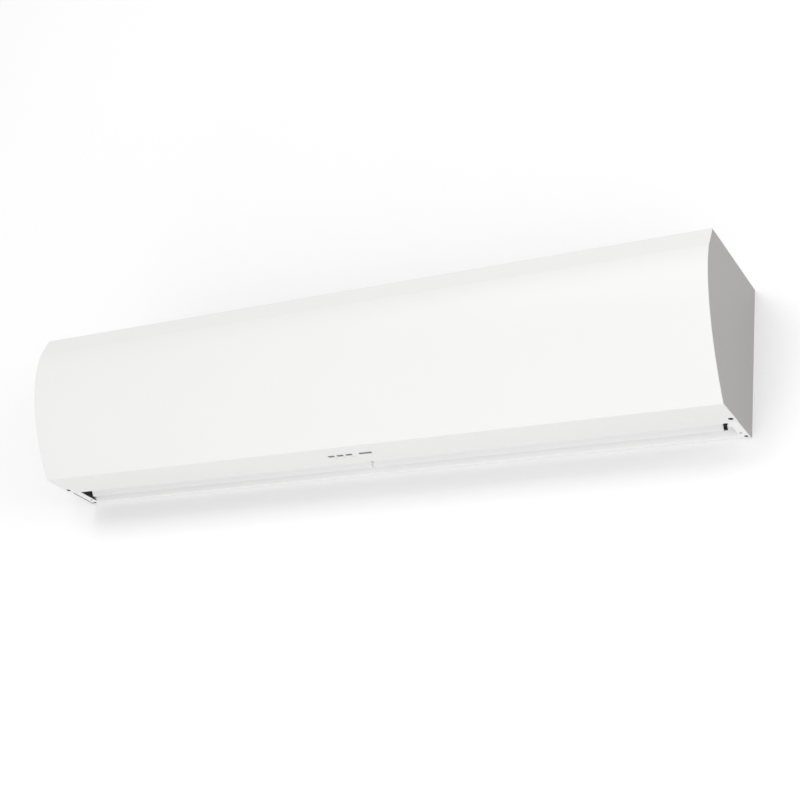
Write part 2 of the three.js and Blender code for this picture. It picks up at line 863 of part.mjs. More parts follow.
// One blade of the impeller, along the fan's axis.
function impellerBlade(index) {
  const bladeLength = impellerEnd - impellerStart - discThickness;
  const blade = new THREE.BoxGeometry(bladeLength, bladeChord, bladeThickness);
  blade.rotateX(THREE.MathUtils.degToRad(bladeLean));
  blade.translate((impellerStart + impellerEnd) / 2, impellerRadius - bladeChord / 2 - bladeInset, 0);
  blade.rotateX((index / impellerBlades) * 2 * Math.PI);
  return blade.translate(0, fanAxis.y, fanAxis.z);
}

function disc(x0, bore) {
  return turned([
    [bore, x0],
    [impellerRadius, x0],
    [impellerRadius, x0 + discThickness],
    [bore, x0 + discThickness],
    [bore, x0],
  ], discSides);
}

// Blades between discs: the inner disc has the hub for the motor's shaft, the outer one a stub shaft.
function impeller() {
  const hubBore = shaftRadius + clearance;
  const hubStart = impellerStart - hubOverhang;
  const hub = turned([
    [hubBore, hubStart],
    [hubRadius, hubStart],
    [hubRadius, impellerStart + hubLength],
    [hubBore, impellerStart + hubLength],
    [hubBore, hubStart],
  ]);
  const middle = (impellerStart + impellerEnd - discThickness) / 2;
  const stubStart = impellerEnd - discThickness;
  const stub = barX(shaftRadius, stubStart, impellerEnd + stubLength, fanAxis.y, fanAxis.z);
  const outerDisc = barX(impellerRadius, stubStart, impellerEnd, fanAxis.y, fanAxis.z, discSides);
  const blades = Array.from({ length: impellerBlades }, (_, index) => impellerBlade(index));
  return join(disc(impellerStart, hubBore), hub, disc(middle, discBore), outerDisc, stub, ...blades);
}

pieceAtBothEnds('impeller', impeller(), impellerMetal);

// ---- Heater -------------------------------------------------------------------------------------

function heaterRod(index) {
  const start = innerPlateEnd - heaterOverhang;
  const end = outerPlateEnd + heaterOverhang;
  return barX(heaterRadius, start, end, -heaterDepth(index), heaterHeight, mediumSides);
}

rods.forEach((index) => pieceAtBothEnds(`heater_rod_${index + 1}`, heaterRod(index), heaterSteel));

const cutoutStart = outerPlateEnd + clearance;
piece(
  'overheat_cutout',
  barX(cutoutRadius, cutoutStart, cutoutStart + cutoutThickness, -cutoutDepth, cutoutHeight),
  darkPlastic,
);

// ---- Outlet vanes and their brackets ------------------------------------------------------------

function vane(start, end, pinStart, pinEnd) {
  const blade = block(start, end, 0, vaneThickness, 0, vaneChord);
  blade.rotateX(vaneTurn).translate(0, -vaneDepth, vaneBottom);
  const boss = barX(vaneBossRadius, start, end, vanePivot.y, vanePivot.z);
  const pin = barX(vanePinRadius, pinStart, pinEnd, vanePivot.y, vanePivot.z, mediumSides);
  return join(blade, boss, pin);
}

const middleHalf = centreBracketWidth / 2;
const middlePin = middleHalf - vanePinEngagement;
const bladeStart = middleHalf + vaneMiddleGap;
const outerPin = endBracketInner + endBracketSheet;

piece('left_vane', vane(leftVaneGap - endBracketInner, -bladeStart, -outerPin, -middlePin), whitePaint);

// The right vane has a collar on its outer pin, against the end bracket.
function rightVane() {
  const collarEnd = endBracketInner - clearance;
  const collarStart = collarEnd - vaneCollarLength;
  const collar = barX(vaneCollarRadius, collarStart, collarEnd, vanePivot.y, vanePivot.z);
  return join(vane(bladeStart, endBracketInner - rightVaneGap, middlePin, outerPin), collar);
}

piece('right_vane', rightVane(), whitePaint);

function pivotHole(x0, x1) {
  return barX(vanePinRadius + clearance, x0, x1, vanePivot.y, vanePivot.z, mediumSides);
}

function centreBracket() {
  const front = slotFront + clearance;
  const rear = guideFront - clearance;
  const overDeflector = frameTop + deflectorRise + clearance;
  const noseDepth = vaneDepth - centreBracketSetback;
  const leanDepth = noseDepth + (centreBracketRise - vaneBottom) * Math.tan(vaneTurn);
  const outline = [
    [front, centreBracketRise],
    [-leanDepth, centreBracketRise],
    [-noseDepth, vaneBottom + centreBracketSetback],
    [-noseDepth + vaneThickness, vaneBottom + vaneThickness],
    [deflectorTip, overDeflector],
    [rear, overDeflector],
    [rear, bracketTop],
    [front, bracketTop],
  ];
  const web = prism(outline, -middleHalf, middleHalf);
  return cut(web, pivotHole(-middleHalf - overshoot, middleHalf + overshoot));
}

piece('centre_vane_bracket', centreBracket(), whitePlastic);

// The right end bracket: a plate with the pivot hole and a foot on the outlet frame's end tab.
function endBracket() {
  const front = slotFront + endBracketInset;
  const rear = deflectorTip - endBracketInset;
  const bottom = frameTop + clearance;
  const web = block(endBracketInner, endBracketInner + endBracketSheet, front, rear, bottom, bracketTop);
  const foot = block(
    endBracketInner,
    endBracketInner + endBracketFoot,
    -bracketScrewDepth - footWidth / 2,
    -bracketScrewDepth + footWidth / 2,
    bottom,
    bottom + footThickness,
  );
  const holeRadius = bracketScrewShank + clearance;
  const screwHole = barZ(
    holeRadius,
    holeRadius,
    bottom - overshoot,
    bottom + footThickness + overshoot,
    bracketScrewX,
    -bracketScrewDepth,
    smallSides,
  );
  const webEnd = endBracketInner + endBracketSheet;
  return cut(join(web, foot), pivotHole(endBracketInner - overshoot, webEnd + overshoot), screwHole);
}

pieceAtBothEnds('vane_bracket', endBracket(), darkPlastic);

// ---- Keys, window, lights and the board behind them ---------------------------------------------

const flangeBottom = plateTop + clearance;
const flangeTop = flangeBottom + keyFlange;

// A key: a cap in the underside plate's opening, a flange above the plate and a stem to its switch.
function key(index) {
  const centre = keyCentre(index);
  const cap = plateOpening(centre, keyLength, 0, keyRecess, flangeTop);
  const flange = plateOpening(centre, keyLength, keyFlange, flangeBottom, flangeTop);
  const stemTop = flangeTop + keyStemLength;
  const stemStart = flangeTop - overlap;
  const stem = barZ(keyStemRadius, keyStemRadius, stemStart, stemTop, centre, -keyDepth, smallSides);
  return join(cap, flange, stem);
}

keys.forEach((index) => piece(`key_${index + 1}`, key(index), greyPlastic));

function receiverWindow() {
  const pane = plateOpening(windowCentre, windowLength, 0, keyRecess, flangeTop);
  const flange = plateOpening(windowCentre, windowLength, keyFlange, flangeBottom, flangeTop);
  return join(pane, flange);
}

piece('receiver_window', receiverWindow(), darkWindow);

function lightBar(margin, z0, z1) {
  const x0 = keyCentre(0) + lightOffset - lightBarWidth / 2 - margin;
  const x1 = keyCentre(keyCount - 1) + lightOffset + lightBarWidth / 2 + margin;
  const reach = lightBarWidth / 2 + margin;
  return block(x0, x1, -lightDepth - reach, -lightDepth + reach, z0, z1);
}

function lightPipe() {
  const bar = lightBar(0, flangeBottom, flangeBottom + lightBarThickness);
  return join(bar, ...keys.map((index) => lightPeg(index, lightRadius, keyRecess, flangeBottom + overlap)));
}

piece('light_pipe', lightPipe(), clearPlastic);

const carrierLeft = keyCentre(0) - keyLength / 2 - carrierMargin;
const carrierRight = windowCentre + windowLength / 2 + carrierMargin;
const carrierFront = -keyDepth - keyWidth / 2 - carrierMargin;
const carrierRear = -lightDepth + lightBarWidth / 2 + carrierMargin;

function keyCarrier() {
  const frame = block(carrierLeft, carrierRight, carrierFront, carrierRear, carrierBottom, carrierTop);
  const pocket = keyFlange + clearance;
  const through = [carrierBottom - overshoot, carrierTop + overshoot];
  const pockets = keys.map((index) => plateOpening(keyCentre(index), keyLength, pocket, ...through));
  const windowPocket = plateOpening(windowCentre, windowLength, pocket, ...through);
  return cut(frame, ...pockets, windowPocket, lightBar(clearance, ...through));
}

piece('key_carrier', keyCarrier(), darkPlastic);

// The board lies on the carrier, with a switch above each key's stem.
function controlBoard() {
  const bottom = carrierTop + clearance;
  const board = block(carrierLeft, carrierRight, carrierFront, carrierRear, bottom, bottom + boardThickness);
  const switchBottom = flangeTop + keyStemLength + keyTravel + clearance;
  const reach = switchSide / 2;
  const switches = keys.map((index) => {
    const x = keyCentre(index);
    return block(x - reach, x + reach, -keyDepth - reach, -keyDepth + reach, switchBottom, bottom + overlap);
  });
  return join(board, ...switches);
}

piece('control_board', controlBoard(), boardGreen);

// ---- Electrics ----------------------------------------------------------------------------------

const boxEnd = boxStart + boxLength;
const boxFront = boxBack - boxDepth;
const boxInnerBack = boxBack - boxWall - clearance;
const boxFloor = boxBottom + boxWall + clearance;

// A tray that opens to the front, on the front of the cut-off plate.
function electricsBox() {
  const outside = block(boxStart, boxEnd, boxFront, boxBack, boxBottom, boxBottom + boxHeight);
  const inside = block(
    boxStart + boxWall,
    boxEnd - boxWall,
    boxFront - overshoot,
    boxBack - boxWall,
    boxBottom + boxWall,
    boxBottom + boxHeight - boxWall,
  );
  return cut(outside, inside);
}

piece('electrics_box', electricsBox(), zincSteel);

const lidBack = boxFront - clearance;
piece(
  'electrics_box_lid',
  block(boxStart, boxEnd, lidBack - boxWall, lidBack, boxBottom, boxBottom + boxHeight),
  zincSteel,
);

// A terminal strip with a funnel at each way.
function terminalBlock() {
  const start = boxStart + boxWall + terminalStart;
  const pitch = terminalLength / terminalWays;
  const front = boxInnerBack - terminalThickness;
  const body = block(start, start + terminalLength, front, boxInnerBack, boxFloor, boxFloor + terminalHeight);
  const ways = Array.from({ length: terminalWays }, (_, way) => {
    const x = start + (way + 0.5) * pitch;
    const reach = (pitch * wayShare) / 2;
    const z = boxFloor + terminalHeight / 2;
    const mouthEnd = front + terminalThickness / 2;
    return block(x - reach, x + reach, front - overshoot, mouthEnd, z - reach, z + reach);
  });
  return cut(body, ...ways);
}

piece('terminal_block', terminalBlock(), whitePlastic);

function motorCapacitor() {
  const start = boxStart + boxWall + capacitorStart;
  const y = boxInnerBack - capacitorRadius;
  const z = boxFloor + capacitorRadius;
  return barX(capacitorRadius, start, start + capacitorLength, y, z);
}

piece('motor_capacitor', motorCapacitor(), whitePlastic);

// The plate that closes the casing's cut-out and holds the gland.
function glandPlate() {
  const reach = glandPlateSide / 2;
  const top = glandPlateBottom + casingSheet;
  const plate = block(
    glandX - reach,
    glandX + reach,
    -glandDepth - reach,
    -glandDepth + reach,
    glandPlateBottom,
    top,
  );
  const radius = glandStemRadius + clearance;
  const hole = barZ(radius, radius, glandPlateBottom - overshoot, top + overshoot, glandX, -glandDepth);
  return cut(plate, hole);
}

piece('gland_plate', glandPlate(), zincSteel);

// The gland: a dome on its plate and a threaded stem through it, with the cable's bore.
function cableGland() {
  const x = glandX;
  const y = -glandDepth;
  const flangeEnd = glandSeat + glandFlange;
  const flange = barZ(glandRadius, glandRadius, glandSeat, flangeEnd, x, y, 6);
  const dome = barZ(domeRadius, domeRadius - domeTaper, flangeEnd, glandSeat + glandRise, x, y);
  const stemBottom = glandPlateBottom - glandStem;
  const stem = barZ(glandStemRadius, glandStemRadius, stemBottom, glandSeat + overlap, x, y);
  const boreStart = stemBottom - overshoot;
  const bore = barZ(glandBore, glandBore, boreStart, glandSeat + glandRise + overshoot, x, y);
  return cut(join(flange, dome, stem), bore);
}

piece('cable_gland', cableGland(), darkPlastic);

function glandLocknut() {
  const top = glandPlateBottom - clearance;
  const nut = barZ(locknutRadius, locknutRadius, top - locknutThickness, top, glandX, -glandDepth, 6);
  const hole = barZ(
    glandStemRadius + clearance,
    glandStemRadius + clearance,
    top - locknutThickness - overshoot,
    top + overshoot,
    glandX,
    -glandDepth,
  );
  return cut(nut, hole);
}

piece('gland_locknut', glandLocknut(), darkPlastic);

// ---- Screws -------------------------------------------------------------------------------------

// A countersunk screw whose head is flush with the face at headBottom.
function countersunkScrew(headRadius, x, depth, headBottom) {
  const head = barZ(headRadius, screwShankRadius, headBottom, headBottom + screwHeadHeight, x, -depth);
  const shankStart = headBottom + screwHeadHeight / 2;
  const shank = barZ(screwShankRadius, screwShankRadius, shankStart, headBottom + screwLength, x, -depth);
  return join(head, shank);
}

const coverScrew = countersunkScrew(coverScrewHead, coverScrewX, coverScrewDepth, 0);
const frameScrew = countersunkScrew(frameScrewHead, frameScrewX, frameScrewDepth, frameRise);
pieceAtBothEnds('cover_screw', coverScrew, blackScrew);
pieceAtBothEnds('frame_screw', frameScrew, blackScrew);

function bracketScrew() {
  const headTop = frameRise - clearance;
  const head = barZ(
    bracketScrewHead - bracketHeadTaper,
    bracketScrewHead,
    headTop - bracketHeadHeight,
    headTop,
    bracketScrewX,
    -bracketScrewDepth,
    mediumSides,
  );
  const shankTop = headTop + bracketScrewLength;
  const shank = barZ(
    bracketScrewShank,
    bracketScrewShank,
    headTop - overlap,
    shankTop,
    bracketScrewX,
    -bracketScrewDepth,
    smallSides,
  );
  return join(head, shank);
}

pieceAtBothEnds('bracket_screw', bracketScrew(), zincSteel);

// ---- The whole unit -----------------------------------------------------------------------------

unit.position.z = -railCentre;

const airCurtain = new THREE.Group();
airCurtain.add(unit);

export default airCurtain;
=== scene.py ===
"""The looks of a wall-mounted air curtain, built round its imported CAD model.

Metres, in the CAD model's own frame: X runs along the unit, +Y points into the wall, +Z is up, and the
origin is the middle of the wall rail's back face.
"""

import math

import bmesh
import bpy
from mathutils import Matrix, Vector


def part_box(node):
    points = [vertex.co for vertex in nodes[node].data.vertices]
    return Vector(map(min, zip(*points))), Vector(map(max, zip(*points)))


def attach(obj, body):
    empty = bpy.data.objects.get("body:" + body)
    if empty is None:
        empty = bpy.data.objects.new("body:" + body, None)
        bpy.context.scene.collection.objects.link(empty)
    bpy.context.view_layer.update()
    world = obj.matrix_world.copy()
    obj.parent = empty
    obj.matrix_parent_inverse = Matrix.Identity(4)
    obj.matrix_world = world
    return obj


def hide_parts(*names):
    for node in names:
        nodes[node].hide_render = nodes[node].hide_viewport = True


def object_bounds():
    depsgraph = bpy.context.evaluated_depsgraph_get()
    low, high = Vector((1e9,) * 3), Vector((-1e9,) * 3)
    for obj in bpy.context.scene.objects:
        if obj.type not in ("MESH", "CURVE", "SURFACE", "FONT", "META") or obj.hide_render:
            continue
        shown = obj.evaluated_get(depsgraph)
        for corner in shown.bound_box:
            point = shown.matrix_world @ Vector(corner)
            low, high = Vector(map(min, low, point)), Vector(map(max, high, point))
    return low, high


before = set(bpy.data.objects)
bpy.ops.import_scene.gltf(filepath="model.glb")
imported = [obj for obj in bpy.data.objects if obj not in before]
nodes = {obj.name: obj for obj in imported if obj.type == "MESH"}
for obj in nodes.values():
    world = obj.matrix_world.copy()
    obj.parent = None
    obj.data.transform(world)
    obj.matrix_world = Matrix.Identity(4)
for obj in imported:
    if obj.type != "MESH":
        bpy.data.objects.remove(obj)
cad_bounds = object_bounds()

MM = 0.001
RAIL_HEIGHT = 245  # the origin above the underside plate, in millimetres


def at(depth, height):
    """A point's Y and Z in metres, from millimetres in front of the wall and above the underside plate."""
    return (-depth * MM, (height - RAIL_HEIGHT) * MM)


# ---- Meshes -----------------------------------------------------------------------------------------


def new_object(name, mesh):
    obj = bpy.data.objects.new(name, mesh)
    bpy.context.scene.collection.objects.link(obj)
    return obj


def object_from(name, bm):
    bmesh.ops.recalc_face_normals(bm, faces=bm.faces)
    mesh = bpy.data.meshes.new(name)
    bm.to_mesh(mesh)
    bm.free()
    return new_object(name, mesh)


def prism(bm, outline, x0, x1):
    """Extrudes a closed YZ outline along X."""
    near = [bm.verts.new((x0, y, z)) for y, z in outline]
    far = [bm.verts.new((x1, y, z)) for y, z in outline]
    count = len(outline)
    for i in range(count):
        j = (i + 1) % count
        bm.faces.new((near[i], near[j], far[j], far[i]))
    bm.faces.new(near)
    bm.faces.new(list(reversed(far)))


def sheet_along_x(bm, outer, inner, x0, x1):
    """A bent sheet between two matching open YZ paths, extruded along X."""
    rings = []
    for x in (x0, x1):
        rings.append((
            [bm.verts.new((x, y, z)) for y, z in outer],
            [bm.verts.new((x, y, z)) for y, z in inner],
        ))
    (outer0, inner0), (outer1, inner1) = rings
    last = len(outer) - 1
    for i in range(last):
        bm.faces.new((outer0[i], outer0[i + 1], outer1[i + 1], outer1[i]))
        bm.faces.new((inner0[i], inner1[i], inner1[i + 1], inner0[i + 1]))
        bm.faces.new((outer0[i], inner0[i], inner0[i + 1], outer0[i + 1]))
        bm.faces.new((outer1[i], outer1[i + 1], inner1[i + 1], inner1[i]))
    bm.faces.new((outer0[0], outer1[0], inner1[0], inner0[0]))
    bm.faces.new((outer0[last], inner0[last], inner1[last], outer1[last]))


def offset_path(path, distance):
    """An open YZ path moved sideways, to the left of its direction of travel."""
    normals = []
    for (y0, z0), (y1, z1) in zip(path, path[1:]):
        run = math.hypot(y1 - y0, z1 - z0)
        normals.append((-(z1 - z0) / run, (y1 - y0) / run))
    moved = []
    for i, (y, z) in enumerate(path):
        before = normals[max(i - 1, 0)]
        after = normals[min(i, len(normals) - 1)]
        share = 1 + before[0] * after[0] + before[1] * after[1]
        moved.append((
            y + (before[0] + after[0]) / share * distance,
            z + (before[1] + after[1]) / share * distance,
        ))
    return moved


def rounded_corner(before, corner, after, radius, steps):
    """The points of an arc that rounds a corner between two straight runs."""
    corner = Vector(corner)
    back = (Vector(before) - corner).normalized()
    ahead = (Vector(after) - corner).normalized()
    half_angle = back.angle(ahead) / 2
    reach = radius / math.tan(half_angle)
    centre = corner + (back + ahead).normalized() * (radius / math.sin(half_angle))
    start = corner + back * reach - centre
    end = corner + ahead * reach - centre
    sweep = start.angle(end)
    points = []
    for step in range(steps + 1):
        share = step / steps
        a = math.sin((1 - share) * sweep) / math.sin(sweep)
        b = math.sin(share * sweep) / math.sin(sweep)
        points.append(tuple(centre + start * a + end * b))
    return points


def rounded_rectangle(width, depth, radius, steps=4):
    """The outline of a rectangle with rounded corners, about its middle."""
    corners = [
        (-width / 2, -depth / 2),
        (width / 2, -depth / 2),
        (width / 2, depth / 2),
        (-width / 2, depth / 2),
    ]
    outline = []
    for i, corner in enumerate(corners):
        outline += rounded_corner(corners[i - 1], corner, corners[(i + 1) % 4], radius, steps)
    return outline


def slab(bm, outline, z0, z1, centre=(0, 0)):
    """Extrudes a closed XY outline along Z."""
    low = [bm.verts.new((x + centre[0], y + centre[1], z0)) for x, y in outline]
    high = [bm.verts.new((x + centre[0], y + centre[1], z1)) for x, y in outline]
    count = len(outline)
    for i in range(count):
        j = (i + 1) % count
        bm.faces.new((low[i], low[j], high[j], high[i]))
    bm.faces.new(list(reversed(low)))
    bm.faces.new(high)


def slab_object(name, outline, z0, z1, centre):
    bm = bmesh.new()
    slab(bm, outline, z0, z1, centre)
    return object_from(name, bm)


def lathe(bm, profile, sides, place):
    """Turns a profile of (radius, distance along the axis) points. place moves it from the Z axis."""
    rings = []
    for radius, along in profile:
        if radius == 0:
            rings.append([bm.verts.new(place @ Vector((0, 0, along)))])
            continue
        ring = []
        for side in range(sides):
            angle = 2 * math.pi * side / sides
            point = Vector((radius * math.cos(angle), radius * math.sin(angle), along))
            ring.append(bm.verts.new(place @ point))
        rings.append(ring)
    for ring, following in zip(rings, rings[1:]):
        for side in range(sides):
            after = (side + 1) % sides
            corners = [ring[side % len(ring)], ring[after % len(ring)]]
            corners += [following[after % len(following)], following[side % len(following)]]
            unique = list(dict.fromkeys(corners))
            if len(unique) > 2:
                bm.faces.new(unique)


def ring_outline(radius, sides):
    return [
        (radius * math.cos(2 * math.pi * i / sides), radius * math.sin(2 * math.pi * i / sides))
        for i in range(sides)
    ]


def apply_modifiers(obj):
    """Replaces an object's mesh by what its modifiers make of it."""
    graph = bpy.context.evaluated_depsgraph_get()
    mesh = bpy.data.meshes.new_from_object(obj.evaluated_get(graph))
    obj.modifiers.clear()
    obj.data = mesh


def cut_away(obj, cutter):
    """Cuts one mesh out of another."""
    modifier = obj.modifiers.new("cut", "BOOLEAN")
    modifier.operation = "DIFFERENCE"
    modifier.solver = "EXACT"
    modifier.object = cutter
    apply_modifiers(obj)
    bpy.data.objects.remove(cutter)


def soften(obj, width, angle=30, segments=2):
    """Rounds an object's sharp edges a little and shades it smoothly."""
    weld = obj.modifiers.new("weld", "WELD")
    weld.merge_threshold = 1e-6
    bevel = obj.modifiers.new("edges", "BEVEL")
    bevel.width = width
    bevel.segments = segments
    bevel.limit_method = "ANGLE"
    bevel.angle_limit = math.radians(angle)
    obj.data.shade_smooth()
    weighted = obj.modifiers.new("normals", "WEIGHTED_NORMAL")
    weighted.keep_sharp = True
    weighted.weight = 80


def dress(name, material, width):
    """Gives a CAD node its material, and modifiers that round its edges. Its own mesh keeps its shape."""
    node = nodes[name]
    node.data.materials.clear()
    node.data.materials.append(material)
    soften(node, width)


def place_piece(obj, material, slot, body, *replaced):
    """Gives a new piece its material and body, in place of CAD nodes."""
    obj.data.materials.clear()
    obj.data.materials.append(material)
    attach(obj, body)
    if replaced:
        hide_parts(*replaced)


# ---- Material helpers -------------------------------------------------------------------------------


class Surface:
    """A material with its node tree, and short ways to add nodes to it."""

    def __init__(self, name, base, roughness, metallic=0.0):
        self.material = bpy.data.materials.new(name)
        self.material.use_nodes = True
        self.tree = self.material.node_tree
        self.shader = self.tree.nodes["Principled BSDF"]
        self.shader.inputs["Base Color"].default_value = (*base, 1)
        self.shader.inputs["Roughness"].default_value = roughness
        self.shader.inputs["Metallic"].default_value = metallic
        self.place = self.add("ShaderNodeTexCoord").outputs["Object"]

    def add(self, kind, **inputs):
        node = self.tree.nodes.new(kind)
        for name, value in inputs.items():
            self.feed(node.inputs[name.replace("_", " ")], value)
        return node

    def feed(self, socket, value):
        if isinstance(value, bpy.types.NodeSocket):
            self.tree.links.new(value, socket)
        else:
            socket.default_value = value

    def stretched(self, scale):
        """The object's coordinates, scaled by axis."""
        return self.add("ShaderNodeMapping", Vector=self.place, Scale=scale).outputs["Vector"]

    def noise(self, scale, detail=2.0, vector=None, roughness=0.5):
        node = self.add("ShaderNodeTexNoise", Vector=vector or self.place)
        node.inputs["Scale"].default_value = scale
        node.inputs["Detail"].default_value = detail
        node.inputs["Roughness"].default_value = roughness
        return node.outputs["Fac"]

    def span(self, value, low, high, from_low=0.0, from_high=1.0):
        """A value moved from one range to another, and kept inside it."""
        node = self.add("ShaderNodeMapRange", Value=value)
        node.inputs["From Min"].default_value = from_low
        node.inputs["From Max"].default_value = from_high
        node.inputs["To Min"].default_value = low
        node.inputs["To Max"].default_value = high
        return node.outputs["Result"]

    def blend(self, factor, first, second):
        """A colour between two colours."""
        node = self.add("ShaderNodeMix")
        node.data_type = "RGBA"
        self.feed(node.inputs[0], factor)
        self.feed(node.inputs[6], first)
        self.feed(node.inputs[7], second)
        return node.outputs[2]

    def calculate(self, operation, first, second=0.0):
        node = self.add("ShaderNodeMath")
        node.operation = operation
        self.feed(node.inputs[0], first)
        self.feed(node.inputs[1], second)
        return node.outputs[0]

    def color(self, value):
        self.feed(self.shader.inputs["Base Color"], value)

    def rough(self, value):
        self.feed(self.shader.inputs["Roughness"], value)

    def bump(self, height, distance, strength=1.0):
        node = self.add("ShaderNodeBump", Height=height)
        node.inputs["Distance"].default_value = distance
        node.inputs["Strength"].default_value = strength
        if self.shader.inputs["Normal"].is_linked:
            before = self.shader.inputs["Normal"].links[0].from_socket
            self.tree.links.new(before, node.inputs["Normal"])
        self.tree.links.new(node.outputs["Normal"], self.shader.inputs["Normal"])


def tint(color, factor):
    """A colour made lighter or darker, as RGBA."""
    return (*[min(1.0, part * factor) for part in color], 1)


# ---- Materials --------------------------------------------------------------------------------------


def painted_sheet(name, base, roughness, peel):
    """Powder coat on steel: a fine orange peel and faint cloudiness."""
    surface = Surface(name, base, roughness)
    clouds = surface.noise(3.2, 3)
    surface.color(surface.blend(clouds, tint(base, 0.985), tint(base, 1.01)))
    texture = surface.noise(420, 3, roughness=0.55)
    surface.rough(surface.span(texture, roughness - 0.05, roughness + 0.07, 0.3, 0.7))
    surface.bump(texture, peel, 0.5)
    surface.bump(surface.noise(60, 1), peel * 1.6, 0.25)
    surface.shader.inputs["Specular IOR Level"].default_value = 0.45
    return surface.material


def galvanised(name, base, roughness):
    """Zinc-coated steel: crystal spangle of slightly different greys and gloss."""
    surface = Surface(name, base, roughness, 1.0)
    cells = surface.add("ShaderNodeTexVoronoi", Vector=surface.place)
    cells.inputs["Scale"].default_value = 110
    cells.inputs["Randomness"].default_value = 1.0
    grain = surface.add("ShaderNodeRGBToBW", Color=cells.outputs["Color"]).outputs["Val"]
    streaks = surface.noise(90, 4, surface.stretched((0.15, 1, 1)))
    mixed = surface.calculate("ADD", surface.calculate("MULTIPLY", grain, 0.65), streaks)
    surface.color(surface.blend(surface.span(mixed, 0, 1, 0.4, 1.2), tint(base, 0.82), tint(base, 1.12)))
    surface.rough(surface.span(mixed, roughness - 0.08, roughness + 0.14, 0.4, 1.2))
    surface.bump(surface.noise(900, 2), 0.00001, 0.4)
    return surface.material


def brushed_metal(name, base, roughness, along):
    """Rolled or drawn metal, with fine lines along one axis."""
    surface = Surface(name, base, roughness, 1.0)
    lines = surface.noise(1500, 3, surface.stretched(along))
    stains = surface.noise(18, 4)
    mixed = surface.calculate("ADD", surface.calculate("MULTIPLY", lines, 0.5), stains)
    surface.color(surface.blend(surface.span(mixed, 0, 1, 0.45, 1.05), tint(base, 0.84), tint(base, 1.1)))
    surface.rough(surface.span(lines, roughness - 0.08, roughness + 0.12, 0.3, 0.7))
    surface.bump(lines, 0.000012, 0.5)
    return surface.material


def moulded(name, base, roughness, grain):
    """Moulded plastic with a fine spark-eroded grain."""
    surface = Surface(name, base, roughness)
    texture = surface.noise(1400, 2)
    clouds = surface.noise(25, 2)
    surface.color(surface.blend(clouds, tint(base, 0.93), tint(base, 1.07)))
    surface.rough(surface.span(texture, roughness - 0.06, roughness + 0.1, 0.3, 0.7))
    surface.bump(texture, grain, 0.6)
    return surface.material


def rubber(name, base):
    surface = Surface(name, base, 0.82)
    texture = surface.noise(700, 4)
    bloom = surface.noise(30, 3)
    surface.color(surface.blend(surface.span(bloom, 0, 1, 0.4, 0.8), tint(base, 0.9), tint(base, 1.6)))
    surface.rough(surface.span(texture, 0.7, 0.95, 0.3, 0.7))
    surface.bump(texture, 0.00003, 0.5)
    return surface.material


def blackened_steel(name, base):
    """Black oxide on small screws, rubbed through a little in scattered patches."""
    surface = Surface(name, base, 0.5, 0.3)
    worn = surface.span(surface.noise(900, 4), 0, 1, 0.6, 0.75)
    surface.color(surface.blend(worn, tint(base, 1.0), tint(base, 3.0)))
    surface.rough(surface.span(worn, 0.5, 0.3))
    surface.bump(surface.noise(1800, 2), 0.00001, 0.5)
    return surface.material


def heater_sheath(name, base):
    """Stainless sheath with heat tint bands and fine drawing lines."""
    surface = Surface(name, base, 0.4, 1.0)
    bands = surface.noise(14, 3, surface.stretched((1, 0.2, 0.2)))
    heat = (base[0] * 1.25, base[1] * 0.95, base[2] * 0.72)
    surface.color(surface.blend(surface.span(bands, 0, 1, 0.35, 0.7), tint(base, 0.9), tint(heat, 1.0)))
    lines = surface.noise(1600, 3, surface.stretched((0.04, 1, 1)))
    surface.rough(surface.span(lines, 0.3, 0.52, 0.3, 0.7))
    surface.bump(lines, 0.00001, 0.4)
    return surface.material


def hammered(name, base):
    """Hammer-finish enamel on the motor."""
    surface = Surface(name, base, 0.42, 0.35)
    cells = surface.add("ShaderNodeTexVoronoi", Vector=surface.place)
    cells.inputs["Scale"].default_value = 260
    distance = cells.outputs["Distance"]
    surface.color(surface.blend(surface.span(distance, 0, 1, 0.1, 0.6), tint(base, 1.15), tint(base, 0.8)))
    surface.rough(surface.span(distance, 0.34, 0.55, 0.1, 0.6))
    surface.bump(distance, 0.0002, 0.5)
    return surface.material


def smoked_window(name, base):
    """Infrared-clear plastic: almost black, glossy, with faint moulding flow."""
    surface = Surface(name, base, 0.08)
    flow = surface.noise(60, 2, surface.stretched((0.3, 1, 1)))
    surface.color(surface.blend(flow, tint(base, 0.8), tint(base, 1.4)))
    surface.rough(surface.span(surface.noise(400, 3), 0.05, 0.14, 0.4, 0.7))
    surface.bump(flow, 0.00002, 0.2)
    surface.shader.inputs["Coat Weight"].default_value = 0.6
    surface.shader.inputs["Coat Roughness"].default_value = 0.04
    return surface.material


def frosted_clear(name, base):
    """Clear plastic with a frosted face: the light pipe."""
    surface = Surface(name, base, 0.3)
    texture = surface.noise(1500, 2)
    surface.color(surface.blend(texture, tint(base, 0.92), tint(base, 1.04)))
    surface.rough(surface.span(texture, 0.24, 0.42, 0.3, 0.7))
    surface.bump(texture, 0.00001, 0.4)
    surface.shader.inputs["Transmission Weight"].default_value = 0.55
    surface.shader.inputs["IOR"].default_value = 1.49
    return surface.material


def circuit_board(name, base):
    """Solder mask over tracks: lighter lines on a darker ground, with a slight step."""
    surface = Surface(name, base, 0.35)
    bricks = surface.add("ShaderNodeTexBrick", Vector=surface.place)
    bricks.inputs["Scale"].default_value = 90
    bricks.inputs["Mortar Size"].default_value = 0.06
    bricks.inputs["Color1"].default_value = tint(base, 0.8)
    bricks.inputs["Color2"].default_value = tint(base, 1.0)
    bricks.inputs["Mortar"].default_value = tint(base, 1.7)
    surface.color(bricks.outputs["Color"])
    surface.bump(bricks.outputs["Fac"], 0.00003, 0.6)
    surface.rough(surface.span(surface.noise(500, 2), 0.28, 0.45, 0.3, 0.7))
    return surface.material


